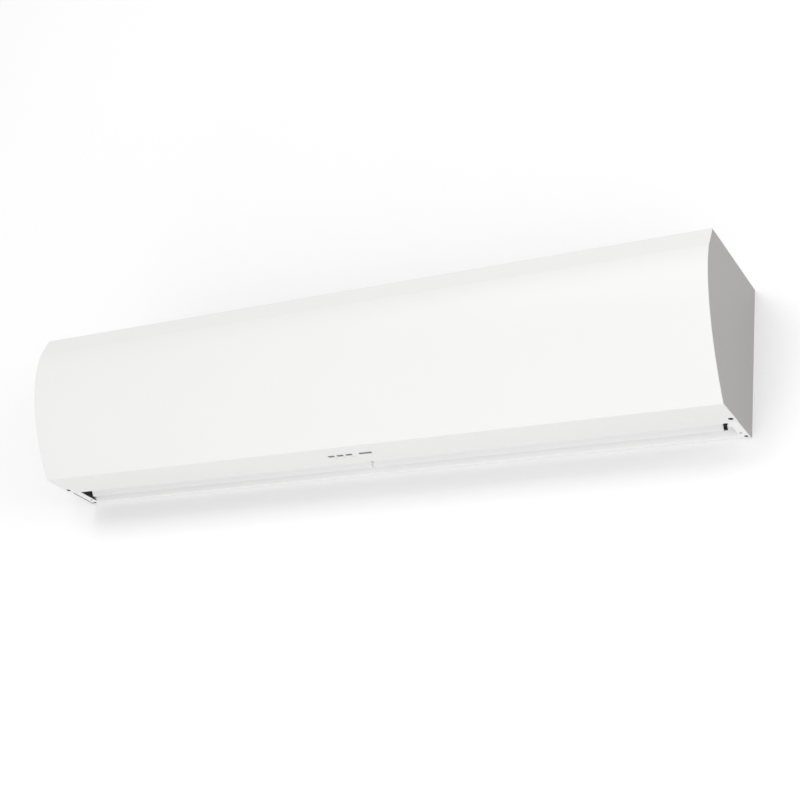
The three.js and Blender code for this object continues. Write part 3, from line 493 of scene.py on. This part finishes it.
white_paint = painted_sheet("white_paint", (0.9, 0.9, 0.895), 0.42, 0.00002)
# A lighter copy of the white paint for the vanes, the outlet frame and the deflector ear: painted light,
# standing in for light that the slot's shade keeps off them.
painted_light_white_paint = painted_sheet("painted_light_white_paint", (0.96, 0.96, 0.957), 0.38, 0.000015)
grey_paint = painted_sheet("grey_paint", (0.41, 0.388, 0.39), 0.48, 0.000025)
zinc_steel = galvanised("zinc_steel", (0.55, 0.57, 0.59), 0.38)
impeller_metal = brushed_metal("impeller_metal", (0.72, 0.73, 0.74), 0.34, (0.03, 1, 1))
motor_paint = hammered("motor_paint", (0.05, 0.055, 0.062))
heater_steel = heater_sheath("heater_steel", (0.4, 0.38, 0.36))
black_screw = blackened_steel("black_screw", (0.01, 0.0105, 0.012))
dark_plastic = moulded("dark_plastic", (0.026, 0.027, 0.03), 0.55, 0.00003)
key_plastic = moulded("key_plastic", (0.15, 0.153, 0.16), 0.5, 0.00002)
white_plastic = moulded("white_plastic", (0.82, 0.82, 0.8), 0.45, 0.00002)
board_mask = circuit_board("board", (0.02, 0.12, 0.05))
dark_window = smoked_window("dark_window", (0.012, 0.013, 0.015))
clear_plastic = frosted_clear("clear_plastic", (0.22, 0.235, 0.23))
black_rubber = rubber("black_rubber", (0.02, 0.02, 0.021))


# ---- Front cover ------------------------------------------------------------------------------------

HALF = cad_bounds[1][0]  # half the length, in metres

# The other sizes are in millimetres. Pairs are a depth in front of the wall and a height above the plate,
# and the two handles that bend the front are measured from the curve's own ends.
COVER_SHEET = 1.6
TOP_EDGE = (235.5, 295)
TOP_RETURN = 14
CREASE = (250.8, 254)
CORNER = (155.4, 0)
SLOT_LIP = 75.5
LIP_RISE = 14
UPPER_HANDLE = (12.4, -70.2)
LOWER_HANDLE = (70.4, 84.7)
GAP = 0.3  # between pieces that seat on each other
HOLE_CORNER = 1.2
LIGHT_HOLE = 1.5
PANEL_CLEARANCE = 748.1  # from the middle of the unit to just inside an end panel

CURVE_STEPS = 60


def front_curve():
    """The curved front from the crease to the lower corner, as depths and heights in millimetres."""
    first = (CREASE[0] + UPPER_HANDLE[0], CREASE[1] + UPPER_HANDLE[1])
    second = (CORNER[0] + LOWER_HANDLE[0], CORNER[1] + LOWER_HANDLE[1])
    points = []
    for step in range(CURVE_STEPS + 1):
        t = step / CURVE_STEPS
        weights = ((1 - t) ** 3, 3 * (1 - t) ** 2 * t, 3 * (1 - t) * t * t, t ** 3)
        corners = (CREASE, first, second, CORNER)
        points.append(tuple(sum(w * p[axis] for w, p in zip(weights, corners)) for axis in (0, 1)))
    return points


def cover_path():
    """The cover's outside, from the top flange to the slot lip, with its bends rounded."""
    curve = front_curve()
    flange = (TOP_EDGE[0] - TOP_RETURN, TOP_EDGE[1])
    path = [flange]
    path += rounded_corner(flange, TOP_EDGE, CREASE, 2.2, 5)
    path += rounded_corner(TOP_EDGE, CREASE, curve[1], 4.0, 3)
    path += curve[1:-1]
    path += rounded_corner(curve[-2], CORNER, (SLOT_LIP, 0), 1.9, 5)
    lip_top = (SLOT_LIP, LIP_RISE)
    path += rounded_corner(CORNER, (SLOT_LIP, 0), lip_top, 1.9, 5)
    path.append(lip_top)
    return [at(depth, height) for depth, height in path]


KEY_FLANGE = 1.2 * MM
LIGHT_BAR_INSET = 2 * MM


def cap_bounds(name):
    """The part of a key or of the window that shows, inside the flange behind the plate."""
    lo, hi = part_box(name)
    flange = Vector((KEY_FLANGE, KEY_FLANGE, 0))
    return lo + flange, hi - flange


light_low, light_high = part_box("light_pipe")
LIGHT_DEPTH = (light_low.y + light_high.y) / 2
LIGHT_PLACES = [
    light_low.x + LIGHT_BAR_INSET,
    (light_low.x + light_high.x) / 2,
    light_high.x - LIGHT_BAR_INSET,
]


def cover_screw_hole(side, low, high):
    """The tool for a countersunk hole in the plate."""
    lo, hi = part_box(f"{side}_cover_screw")
    middle = Vector(((lo.x + hi.x) / 2, (lo.y + hi.y) / 2, 0))
    rim = 4.95 * MM
    neck = 2.3 * MM
    face = at(0, 0)[1]
    countersink = at(0, 1.2)[1]
    bm = bmesh.new()
    profile = [(0, low), (rim, low), (rim, face), (neck, countersink), (neck, high), (0, high)]
    lathe(bm, profile, 28, Matrix.Translation(middle))
    return object_from("tool", bm)


def lip_end_cut(sign):
    """The corner cut from the slot lip, where the end panel passes it."""
    x0, x1 = sorted((sign * PANEL_CLEARANCE * MM, sign * (HALF + 0.002)))
    back = SLOT_LIP + COVER_SHEET + GAP
    front = SLOT_LIP - 1.5
    top = LIP_RISE + 2
    bm = bmesh.new()
    prism(bm, [at(back, COVER_SHEET), at(front, COVER_SHEET), at(front, top), at(back, top)], x0, x1)
    return object_from("tool", bm)


def cover_tools():
    """What is cut from the underside plate: keys, window, lights, screws and the lip's ends."""
    low = at(0, -3)[1]
    high = at(0, COVER_SHEET + 2)[1]
    gap = GAP * MM
    tools = []
    for name in ("key_1", "key_2", "key_3", "receiver_window"):
        lo, hi = cap_bounds(name)
        size = hi - lo
        outline = rounded_rectangle(size.x + 2 * gap, size.y + 2 * gap, HOLE_CORNER * MM)
        middle = ((lo.x + hi.x) / 2, (lo.y + hi.y) / 2)
        tools.append(slab_object("tool", outline, low, high, middle))
    for x in LIGHT_PLACES:
        tools.append(slab_object("tool", ring_outline(LIGHT_HOLE * MM, 20), low, high, (x, LIGHT_DEPTH)))
    tools += [cover_screw_hole(side, low, high) for side in ("left", "right")]
    tools += [lip_end_cut(sign) for sign in (-1, 1)]
    return tools


def make_front_cover():
    path = cover_path()
    bm = bmesh.new()
    sheet_along_x(bm, path, offset_path(path, COVER_SHEET * MM), -HALF, HALF)
    cover = object_from("front_cover_sheet", bm)
    for tool in cover_tools():
        cut_away(cover, tool)
    soften(cover, 0.0003, 40)
    place_piece(cover, white_paint, "white_paint", "casing", "front_cover")


# ---- Keys and window --------------------------------------------------------------------------------


def cap_rings(bm, width, depth, levels, centre):
    """A rounded rectangular cap through rings of (inset, height, corner radius), closed at both ends."""
    rings = []
    for inset, z, corner in levels:
        outline = rounded_rectangle(width - 2 * inset, depth - 2 * inset, corner, 5)
        rings.append([bm.verts.new((x + centre[0], y + centre[1], z)) for x, y in outline])
    count = len(rings[0])
    for ring, following in zip(rings, rings[1:]):
        for i in range(count):
            j = (i + 1) % count
            bm.faces.new((ring[i], ring[j], following[j], following[i]))
    bm.faces.new(rings[0])
    bm.faces.new(list(reversed(rings[-1])))


def post_profile(start, end):
    """The post on a key's back, with a chamfered end."""
    radius = 2 * MM
    chamfer = 0.4 * MM
    return [(0, start), (radius, start), (radius, end - chamfer), (radius - chamfer, end), (0, end)]


def make_cap(name, material, slot, body, dish):
    """A key or window: rounded rim, slightly dished or crowned face, and a flange behind the plate."""
    lo, hi = cap_bounds(name)
    full_low, full_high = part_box(name)
    size = hi - lo
    face = full_low.z
    flange_low = at(0, COVER_SHEET + GAP)[1]
    flange_high = flange_low + KEY_FLANGE
    corner = 1.0 * MM
    levels = [
        (1.7 * MM, face + dish * 1.0, corner * 0.4),
        (1.1 * MM, face + dish * 0.75, corner * 0.5),
        (0.55 * MM, face + dish * 0.2, corner * 0.7),
        (0.25 * MM, face, corner * 0.8),
        (0.08 * MM, face + 0.08 * MM, corner * 0.9),
        (0, face + 0.25 * MM, corner),
        (0, flange_low, corner),
        (-KEY_FLANGE, flange_low, corner + KEY_FLANGE),
        (-KEY_FLANGE, flange_high, corner + KEY_FLANGE),
    ]
    bm = bmesh.new()
    centre = ((lo.x + hi.x) / 2, (lo.y + hi.y) / 2)
    cap_rings(bm, size.x, size.y, levels, centre)
    if full_high.z > flange_high + MM:
        post = post_profile(flange_high - 0.2 * MM, full_high.z)
        lathe(bm, post, 20, Matrix.Translation((*centre, 0)))
    cap = object_from(f"{name}_cap", bm)
    soften(cap, 0.00008, 50, 1)
    place_piece(cap, material, slot, body, name)


# ---- Screws -----------------------------------------------------------------------------------------


def cross_recess(radius, depth, face, centre):
    """The tool that cuts a cross recess upwards into a screw head."""
    arm = radius * 0.2
    quarter = [(arm, arm), (radius, arm), (radius, -arm)]
    outline = []
    for _ in range(4):
        outline += quarter
        quarter = [(y, -x) for x, y in quarter]
    bm = bmesh.new()
    low = face - 0.3 * MM
    bottom = [bm.verts.new((x + centre.x, y + centre.y, low)) for x, y in outline]
    top = [bm.verts.new((x * 0.55 + centre.x, y * 0.55 + centre.y, face + depth)) for x, y in outline]
    bm.faces.new(bottom)
    bm.faces.new(list(reversed(top)))
    for i in range(len(outline)):
        j = (i + 1) % len(outline)
        bm.faces.new((bottom[i], top[i], top[j], bottom[j]))
    return object_from("tool", bm)


def make_screw(name, profile, recess_radius, recess_depth, material, slot):
    """A turned screw with a cross recess, its head down, in place of its CAD node."""
    lo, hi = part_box(name)
    centre = Vector(((lo.x + hi.x) / 2, (lo.y + hi.y) / 2, 0))
    face = lo.z
    bm = bmesh.new()
    turned = [(radius * MM, face + along * MM) for radius, along in profile]
    turned += [(profile[-1][0] * MM, hi.z - 0.5 * MM), (0, hi.z)]
    lathe(bm, turned, 32, Matrix.Translation(centre))
    screw = object_from(f"{name}_turned", bm)
    cut_away(screw, cross_recess(recess_radius * MM, recess_depth * MM, face, centre))
    soften(screw, 0.00006, 35, 1)
    place_piece(screw, material, slot, "casing", name)


COVER_SCREW = [(0, 0), (4.3, 0), (4.6, 0.15), (1.9, 1.2), (1.75, 1.5)]
FRAME_SCREW = [(0, 0), (3.3, 0), (3.6, 0.15), (1.9, 1.2), (1.75, 1.5)]
PAN_HEAD = [(0, 0), (1.2, 0.02), (1.8, 0.2), (2.2, 0.6), (2.3, 1.0), (2.3, 1.2), (1.4, 1.2)]


# ---- Fan --------------------------------------------------------------------------------------------

SHAFT = Vector((0, *at(112, 185)))
ALONG_X = Matrix.Rotation(math.pi / 2, 4, "Y")
UPRIGHT = Matrix.Rotation(math.pi / 2, 4, "X")
FAN_BLADES = 36


# The impeller's sizes, in millimetres; its discs are placed from the middle of the unit.
DISC_RADIUS = 60
DISC_SHEET = 2.0
DISC_CHAMFER = 0.3
DISC_RIM = 59.6  # radius where the chamfer starts
FIRST_DISC = 69.5
MIDDLE_DISCS = (227.2, 383.9, 540.6)
IMPELLER_END = 700.3
SHAFT_BORE = 4.3
OPEN_BORE = 40


def turned_part(bm, sign, profile, sides):
    """A part turned round the shaft, from millimetres. A sign of -1 mirrors it to the left."""
    place = Matrix.Translation(SHAFT) @ ALONG_X
    lathe(bm, [(radius * MM, sign * along * MM) for radius, along in profile], sides, place)


def disc_profile(start, bore):
    """A disc with chamfered edges. A bore of 0 leaves it closed."""
    end = start + DISC_SHEET
    profile = [(bore, start), (DISC_RIM, start), (DISC_RADIUS, start + DISC_CHAMFER)]
    profile += [(DISC_RADIUS, end - DISC_CHAMFER), (DISC_RIM, end), (bore, end)]
    if bore:
        profile.append((bore, start))
    return profile


def hub_profile():
    """The sleeve that grips the shaft, on both sides of the first disc."""
    start = FIRST_DISC - 4
    end = FIRST_DISC + 16
    outside = 9
    return [(SHAFT_BORE, start), (outside, start), (outside, end), (SHAFT_BORE, end), (SHAFT_BORE, start)]


def stub_profile():
    """The stub that turns in the outer bearing."""
    start = IMPELLER_END - 1
    end = IMPELLER_END + 22
    outside = 4
    chamfer = 0.5
    return [(0, start), (outside, start), (outside, end - chamfer), (outside - chamfer, end), (0, end)]


def impeller_blade(bm, angle, x0, x1):
    """A thin curved blade: an arc of sheet from the inner to the outer rim."""
    outer = 59.2 * MM
    inner = 46.5 * MM
    thickness = 0.9 * MM
    lean = -0.06
    curl = 0.30
    steps = 6
    front = []
    for step in range(steps + 1):
        share = step / steps
        radius = inner + (outer - inner) * share
        turn = angle + curl * share * share + lean * share
        front.append((radius * math.cos(turn), radius * math.sin(turn)))
    back = offset_path(front, thickness)
    ring = front + list(reversed(back))
    placed = [(SHAFT.y + a, SHAFT.z + b) for a, b in ring]
    prism(bm, placed, x0, x1)


def make_impeller(side):
    """Five discs, thin curved blades between them, a hub on the motor's side and a stub on the other."""
    name = f"{side}_impeller"
    sign = 1 if side == "right" else -1
    bm = bmesh.new()
    turned_part(bm, sign, disc_profile(FIRST_DISC, SHAFT_BORE), 64)
    for start in MIDDLE_DISCS:
        turned_part(bm, sign, disc_profile(start, OPEN_BORE), 64)
    turned_part(bm, sign, disc_profile(IMPELLER_END - DISC_SHEET, 0), 64)
    turned_part(bm, sign, hub_profile(), 32)
    turned_part(bm, sign, stub_profile(), 24)
    start, end = sorted((sign * (FIRST_DISC + 1) * MM, sign * (IMPELLER_END - 1) * MM))
    for index in range(FAN_BLADES):
        impeller_blade(bm, 2 * math.pi * index / FAN_BLADES, start, end)
    impeller = object_from(f"{name}_blades", bm)
    impeller.data.shade_smooth()
    impeller.data.set_sharp_from_angle(angle=math.radians(35))
    place_piece(impeller, impeller_metal, "impeller_metal", "fan_rotor", name)


# ---- Intake grille ----------------------------------------------------------------------------------


def bar_section(width, depth):
    """A bar's rounded section, with a wedge-shaped underside."""
    outline = rounded_rectangle(width, depth, min(width, depth) * 0.35)
    return [(a * (0.72 if b < 0 else 1.0), b) for a, b in outline]


GRILLE_RIM = 10 * MM
GRILLE_BAR = 5 * MM
GRILLE_ROWS = 12
GRILLE_COLUMNS = 6


def bar_places(low, high, count):
    """The middles of the bars that divide an opening into so many gaps of one width."""
    pitch = (high - low + GRILLE_BAR) / count
    return [low + index * pitch - GRILLE_BAR / 2 for index in range(1, count)]


def make_grille_bars():
    """Rounded bars both ways. Those across are a little thinner than those along the unit."""
    lo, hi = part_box("intake_grille")
    middle_z = (lo.z + hi.z) / 2
    opening_low = lo.y + GRILLE_RIM
    opening_high = hi.y - GRILLE_RIM
    bm = bmesh.new()
    for y in bar_places(opening_low, opening_high, GRILLE_ROWS):
        section = [(y + a, middle_z + b) for a, b in bar_section(GRILLE_BAR, hi.z - lo.z)]
        prism(bm, section, lo.x + GRILLE_RIM / 2, hi.x - GRILLE_RIM / 2)
    outline = rounded_rectangle(GRILLE_BAR, opening_high - opening_low + GRILLE_RIM, 1.0 * MM, 3)
    inset = 0.4 * MM
    for x in bar_places(lo.x + GRILLE_RIM, hi.x - GRILLE_RIM, GRILLE_COLUMNS):
        slab(bm, outline, lo.z + inset, hi.z - inset, (x, (opening_low + opening_high) / 2))
    bars = object_from("intake_grille_bars", bm)
    soften(bars, 0.0002, 50, 1)
    place_piece(bars, grey_paint, "grey_paint", "casing")


def make_grille_rim():
    lo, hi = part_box("intake_grille")
    size = hi - lo
    centre = ((lo.x + hi.x) / 2, (lo.y + hi.y) / 2)
    outline = rounded_rectangle(size.x, size.y, 4 * MM, 5)
    rim = slab_object("intake_grille_rim", outline, lo.z, hi.z, centre)
    inside = rounded_rectangle(size.x - 2 * GRILLE_RIM, size.y - 2 * GRILLE_RIM, 3 * MM, 5)
    cut_away(rim, slab_object("tool", inside, lo.z - 0.002, hi.z + 0.002, centre))
    soften(rim, 0.0004, 40)
    place_piece(rim, grey_paint, "grey_paint", "casing", "intake_grille")


# ---- Wall rail, pads and deflector ear --------------------------------------------------------------


RAIL_SHEET = 2 * MM


def make_rail_strip():
    """The rail's strip, with two rows of fixing slots."""
    lo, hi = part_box("wall_rail")
    middle = (lo.z + hi.z) / 2
    outline = rounded_rectangle(hi.x - lo.x, hi.z - lo.z, 3 * MM, 5)
    strip = slab_object("wall_rail_strip", outline, 0, RAIL_SHEET, (0, middle))
    strip.data.transform(UPRIGHT)
    slot_pitch = 150 * MM
    slot_rise = 13 * MM
    slot_shape = rounded_rectangle(14 * MM, 6.5 * MM, 3.2 * MM, 5)
    for index in range(-4, 5):
        for z in (-slot_rise, slot_rise):
            place = (index * slot_pitch, middle + z)
            tool = slab_object("tool", slot_shape, -0.002, RAIL_SHEET + 0.002, place)
            tool.data.transform(UPRIGHT)
            cut_away(strip, tool)
    soften(strip, 0.0003, 40)
    place_piece(strip, zinc_steel, "zinc_steel", "casing", "wall_rail")


def make_rail_hooks():
    """The two bent hooks that hold the casing's back."""
    hook_place = 450 * MM
    hook_half = 20 * MM
    root, bend, tip = at(1, 245), at(4.8, 245), at(4.8, 256)
    line = [root, *rounded_corner(root, bend, tip, 1.2 * MM, 5), tip]
    faces = (offset_path(line, RAIL_SHEET / 2), offset_path(line, -RAIL_SHEET / 2))
    bm = bmesh.new()
    for x in (-hook_place, hook_place):
        sheet_along_x(bm, *faces, x - hook_half, x + hook_half)
    hooks = object_from("wall_rail_hooks", bm)
    soften(hooks, 0.0003, 40)
    place_piece(hooks, zinc_steel, "zinc_steel", "casing")


def make_pad(side):
    """A rubber pad with shallow ribs on the face that meets the wall."""
    name = f"{side}_wall_pad"
    lo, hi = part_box(name)
    width = hi.x - lo.x
    height = hi.z - lo.z
    depth = hi.y - lo.y
    centre = ((lo.x + hi.x) / 2, (lo.z + hi.z) / 2)
    outline = rounded_rectangle(width, height, 3 * MM, 6)
    pad = slab_object(f"{name}_ribbed", outline, 0, depth, centre)
    groove_pitch = 5 * MM
    groove_depth = 0.7 * MM
    groove = rounded_rectangle(1.6 * MM, height - 5 * MM, 0.7 * MM, 3)
    for index in range(-3, 4):
        x = centre[0] + index * groove_pitch
        cut_away(pad, slab_object("tool", groove, -0.001, groove_depth, (x, centre[1])))
    pad.data.transform(UPRIGHT)
    soften(pad, 0.0003, 40)
    place_piece(pad, black_rubber, "black_rubber", "casing", name)


def make_deflector_ear():
    """The deflector runs higher at the slot's right end, behind the vane's collar."""
    start = 712.5 * MM
    end = 732 * MM
    outline = [at(19.8, 12.5), at(27, 20.1), at(26.1, 21), at(18.9, 13.4)]
    bm = bmesh.new()
    prism(bm, outline, start, end)
    ear = object_from("right_deflector_ear", bm)
    soften(ear, 0.0003)
    # The ear takes the lightened white paint: painted light in the slot's shade.
    place_piece(ear, painted_light_white_paint, "white_paint", "casing")


# ---- Cable gland ------------------------------------------------------------------------------------


def gland_place():
    """The gland's middle, and the height it stands at on its plate."""
    lo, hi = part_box("cable_gland")
    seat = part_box("gland_plate")[1].z + GAP * MM
    return (lo.x + hi.x) / 2, (lo.y + hi.y) / 2, seat


def thread_profile():
    """The stem's thread below the seat, round a bore for the cable, in millimetres."""
    bore = 5
    crest = 8.0
    root = 7.3
    pitch = 1.5
    profile = [(bore, -13.6)]
    for index in range(9):
        turn = pitch * index
        profile += [(crest, -13.4 + turn), (root, -12.65 + turn)]
    profile += [(crest, 0.2), (crest, 1.1), (bore, 1.1), (bore, -13.6)]
    return profile


def make_gland_base():
    """A hex base with a threaded stem."""
    x, y, seat = gland_place()
    bm = bmesh.new()
    slab(bm, ring_outline(10 * MM, 6), seat, seat + 6 * MM, (x, y))
    stem = [(radius * MM, seat + along * MM) for radius, along in thread_profile()]
    lathe(bm, stem, 36, Matrix.Translation((x, y, 0)))
    base = object_from("cable_gland_base", bm)
    soften(base, 0.0003, 45)
    place_piece(base, dark_plastic, "dark_plastic", "casing", "cable_gland")


def make_gland_nut():
    """A dome nut with flutes round its lower part."""
    x, y, seat = gland_place()
    sides = 72
    flute_start = 8.5
    flute_depth = 0.55
    levels = [(8.8, 6.0), (9.0, 6.4), (9.0, 10.2), (8.4, 12.0)]
    levels += [(6.9, 13.4), (5.8, 14.0), (5.1, 13.8), (5.0, 6.0)]
    bm = bmesh.new()
    rings = []
    for radius, height in levels:
        ring = []
        for side in range(sides):
            angle = 2 * math.pi * side / sides
            fluted = radius > flute_start and side % 6 in (0, 1)
            reach = (radius - (flute_depth if fluted else 0)) * MM
            point = (x + reach * math.cos(angle), y + reach * math.sin(angle), seat + height * MM)
            ring.append(bm.verts.new(point))
        rings.append(ring)
    rings.append(rings[0])
    for ring, following in zip(rings, rings[1:]):
        for side in range(sides):
            after = (side + 1) % sides
            bm.faces.new((ring[side], ring[after], following[after], following[side]))
    nut = object_from("cable_gland_nut", bm)
    soften(nut, 0.0002, 40)
    place_piece(nut, dark_plastic, "dark_plastic", "casing")


# ---- Motor ------------------------------------------------------------------------------------------


def make_motor():
    """Two end shields, a ribbed middle and the bosses in the rubber rings."""
    half_boss = 63.7
    profile = [(4.3, -half_boss), (13.6, -half_boss), (14, -half_boss + 0.4), (14, -44), (34, -44)]
    profile += [(37.5, -43), (41, -39.5), (42, -37), (42, -24), (40.6, -23.4)]
    for index in range(9):
        x = -22 + index * 5
        profile += [(40.6, x), (42, x + 0.6), (42, x + 2.4), (40.6, x + 3)]
    profile += [(40.6, 23.4), (42, 24), (42, 37), (41, 39.5), (37.5, 43), (34, 44), (14, 44)]
    profile += [(14, half_boss - 0.4), (13.6, half_boss), (4.3, half_boss), (4.3, -half_boss)]
    bm = bmesh.new()
    turned_part(bm, 1, profile, 64)
    motor = object_from("motor_housing", bm)
    motor.data.shade_smooth()
    motor.data.set_sharp_from_angle(angle=math.radians(30))
    place_piece(motor, motor_paint, "motor_paint", "casing", "motor_body")


# ---- Pieces -----------------------------------------------------------------------------------------

make_front_cover()
for key_name in ("key_1", "key_2", "key_3"):
    make_cap(key_name, key_plastic, "key_plastic", key_name, 0.25 * MM)
make_cap("receiver_window", dark_window, "dark_window", "casing", -0.12 * MM)
for side in ("left", "right"):
    make_screw(f"{side}_cover_screw", COVER_SCREW, 2.3, 1.4, black_screw, "black_screw")
    make_screw(f"{side}_frame_screw", FRAME_SCREW, 1.9, 1.3, black_screw, "black_screw")
    make_screw(f"{side}_bracket_screw", PAN_HEAD, 1.3, 0.9, zinc_steel, "zinc_steel")
    make_impeller(side)
    make_pad(side)
make_grille_bars()
make_grille_rim()
make_rail_strip()
make_rail_hooks()
make_deflector_ear()
make_gland_base()
make_gland_nut()
make_motor()

# The CAD's own nodes, each with its material and the width its edges are rounded to, in metres.
DRESSED = {
    "rear_casing": (white_paint, 0.0004),
    # The outlet frame takes the lightened white paint: painted light in the slot's shade.
    "outlet_frame": (painted_light_white_paint, 0.0003),
    "centre_vane_bracket": (white_plastic, 0.0004),
    "motor_shield": (zinc_steel, 0.0002),
    "motor_shaft": (zinc_steel, 0.0004),
    "overheat_cutout": (dark_plastic, 0.0005),
    "light_pipe": (clear_plastic, 0.0002),
    "key_carrier": (dark_plastic, 0.0003),
    "control_board": (board_mask, 0.0001),
    "electrics_box": (zinc_steel, 0.0003),
    "electrics_box_lid": (zinc_steel, 0.0003),
    "terminal_block": (white_plastic, 0.0004),
    "motor_capacitor": (white_plastic, 0.0008),
    "gland_plate": (zinc_steel, 0.0003),
    "gland_locknut": (dark_plastic, 0.0004),
}
DRESSED_PAIRS = {
    "end_panel": (grey_paint, 0.0003),
    # The vanes take the lightened white paint: painted light in the slot's shade.
    "vane": (painted_light_white_paint, 0.0005),
    # The vane brackets are dark plastic, and partly painted shade: their darkness stands in for the shade
    # at the slot's ends.
    "vane_bracket": (dark_plastic, 0.0003),
    "rear_air_guide": (zinc_steel, 0.0002),
    "cutoff_plate": (zinc_steel, 0.0002),
    "outer_fan_plate": (zinc_steel, 0.0003),
    "inner_fan_plate": (zinc_steel, 0.0003),
    "bearing": (impeller_metal, 0.0003),
    "bearing_cushion": (black_rubber, 0.0004),
    "motor_ring": (black_rubber, 0.0004),
    "heater_rod_1": (heater_steel, 0.0006),
    "heater_rod_2": (heater_steel, 0.0006),
    "heater_rod_3": (heater_steel, 0.0006),
}
for name, (material, width) in DRESSED.items():
    dress(name, material, width)
for name, (material, width) in DRESSED_PAIRS.items():
    for side in ("left", "right"):
        dress(f"{side}_{name}", material, width)


# ---- Stage, light and camera ------------------------------------------------------------------------


def seen_from_front(name, glow, shade):
    """A pale stage surface that keeps shadows, reads as white, and is clear from behind."""
    surface = Surface(name, shade, 0.9)
    tree = surface.tree
    output = tree.nodes["Material Output"]
    path = surface.add("ShaderNodeLightPath")
    mottling = surface.noise(1.5, 2)
    surface.color(surface.blend(mottling, tint(shade, 0.995), tint(shade, 1.005)))
    emission = surface.add("ShaderNodeEmission")
    emission.inputs["Strength"].default_value = glow
    lit = surface.add("ShaderNodeAddShader")
    tree.links.new(surface.shader.outputs[0], lit.inputs[0])
    tree.links.new(emission.outputs[0], lit.inputs[1])
    either = surface.calculate("MAXIMUM", path.outputs["Is Camera Ray"], path.outputs["Is Glossy Ray"])
    either = surface.calculate("MAXIMUM", either, path.outputs["Is Transmission Ray"])
    seen = surface.add("ShaderNodeMixShader")
    tree.links.new(either, seen.inputs[0])
    tree.links.new(surface.shader.outputs[0], seen.inputs[1])
    tree.links.new(lit.outputs[0], seen.inputs[2])
    clear = surface.add("ShaderNodeBsdfTransparent")
    geometry = surface.add("ShaderNodeNewGeometry")
    sided = surface.add("ShaderNodeMixShader")
    tree.links.new(geometry.outputs["Backfacing"], sided.inputs[0])
    tree.links.new(seen.outputs[0], sided.inputs[1])
    tree.links.new(clear.outputs[0], sided.inputs[2])
    tree.links.new(sided.outputs[0], output.inputs["Surface"])
    return surface.material


def stage_plane(name, corners, material):
    bm = bmesh.new()
    bm.faces.new([bm.verts.new(corner) for corner in corners])
    mesh = bpy.data.meshes.new(name)
    bm.to_mesh(mesh)
    bm.free()
    plane = new_object(name, mesh)
    plane.data.materials.append(material)
    return plane


WALL = 0.0012  # just behind the unit's back
FLOOR = -2.3
STAGE_HALF = 6
STAGE_TOP = 5
STAGE_FRONT = -8
wall_material = seen_from_front("stage_wall", 0.1, (0.97, 0.97, 0.97))
floor_material = seen_from_front("stage_floor", 0.2, (0.81, 0.81, 0.81))
wall_corners = [
    (-STAGE_HALF, WALL, FLOOR),
    (STAGE_HALF, WALL, FLOOR),
    (STAGE_HALF, WALL, STAGE_TOP),
    (-STAGE_HALF, WALL, STAGE_TOP),
]
floor_corners = [
    (-STAGE_HALF, STAGE_FRONT, FLOOR),
    (STAGE_HALF, STAGE_FRONT, FLOOR),
    (STAGE_HALF, WALL, FLOOR),
    (-STAGE_HALF, WALL, FLOOR),
]
wall = stage_plane("wall", wall_corners, wall_material)
# The wall is clear from behind, so it doesn't keep light from the unit's back either.
wall.visible_diffuse = False
wall.visible_shadow = False
stage_plane("floor", floor_corners, floor_material)


def world_light(strength):
    """Even soft light, seen as white by the camera and through clear plastic."""
    world = bpy.data.worlds.new("studio")
    bpy.context.scene.world = world
    world.use_nodes = True
    tree = world.node_tree
    background = tree.nodes["Background"]
    background.inputs["Color"].default_value = (1, 1, 1, 1)
    background.inputs["Strength"].default_value = strength
    white = tree.nodes.new("ShaderNodeBackground")
    white.inputs["Color"].default_value = (1, 1, 1, 1)
    white.inputs["Strength"].default_value = 1.0
    path = tree.nodes.new("ShaderNodeLightPath")
    either = tree.nodes.new("ShaderNodeMath")
    either.operation = "MAXIMUM"
    tree.links.new(path.outputs["Is Camera Ray"], either.inputs[0])
    tree.links.new(path.outputs["Is Transmission Ray"], either.inputs[1])
    mix = tree.nodes.new("ShaderNodeMixShader")
    tree.links.new(either.outputs[0], mix.inputs[0])
    tree.links.new(background.outputs[0], mix.inputs[1])
    tree.links.new(white.outputs[0], mix.inputs[2])
    tree.links.new(mix.outputs[0], tree.nodes["World Output"].inputs["Surface"])


def softbox(name, place, target, width, height, watts):
    """A rectangular lamp that faces a point on the unit."""
    light = bpy.data.lights.new(name, "AREA")
    light.shape = "RECTANGLE"
    light.size = width
    light.size_y = height
    light.energy = watts
    obj = bpy.data.objects.new(name, light)
    bpy.context.scene.collection.objects.link(obj)
    obj.location = place
    obj.rotation_euler = (Vector(target) - Vector(place)).to_track_quat("-Z", "Y").to_euler()


world_light(0.68)
softbox("front_softbox", (-0.5, -4.3, 1.5), (0, 0, -0.1), 2.6, 1.6, 44)
softbox("low_softbox", (0, -0.7, -2.2), (0, -0.1, -0.1), 2.8, 0.6, 12)
softbox("side_softbox", (3.4, -2.0, -0.3), (0, 0, -0.1), 1.4, 1.4, 25)


def add_camera():
    """The camera, fitted to the edges of the pictured unit."""
    camera = bpy.data.cameras.new("camera")
    camera.sensor_width = 36
    camera.lens = 69.6475
    camera.clip_end = 100
    right = Vector((0.8651532, 0.4897099, 0.1081390))
    up = Vector((0.1106420, -0.3966938, 0.9112587))
    back = right.cross(up)
    obj = bpy.data.objects.new("camera", camera)
    bpy.context.scene.collection.objects.link(obj)
    basis = Matrix((right, up, back)).transposed().to_4x4()
    obj.matrix_world = Matrix.Translation((1.548160, -2.430079, -1.324855)) @ basis
    bpy.context.scene.camera = obj


add_camera()
bpy.context.scene.view_settings.view_transform = "Standard"
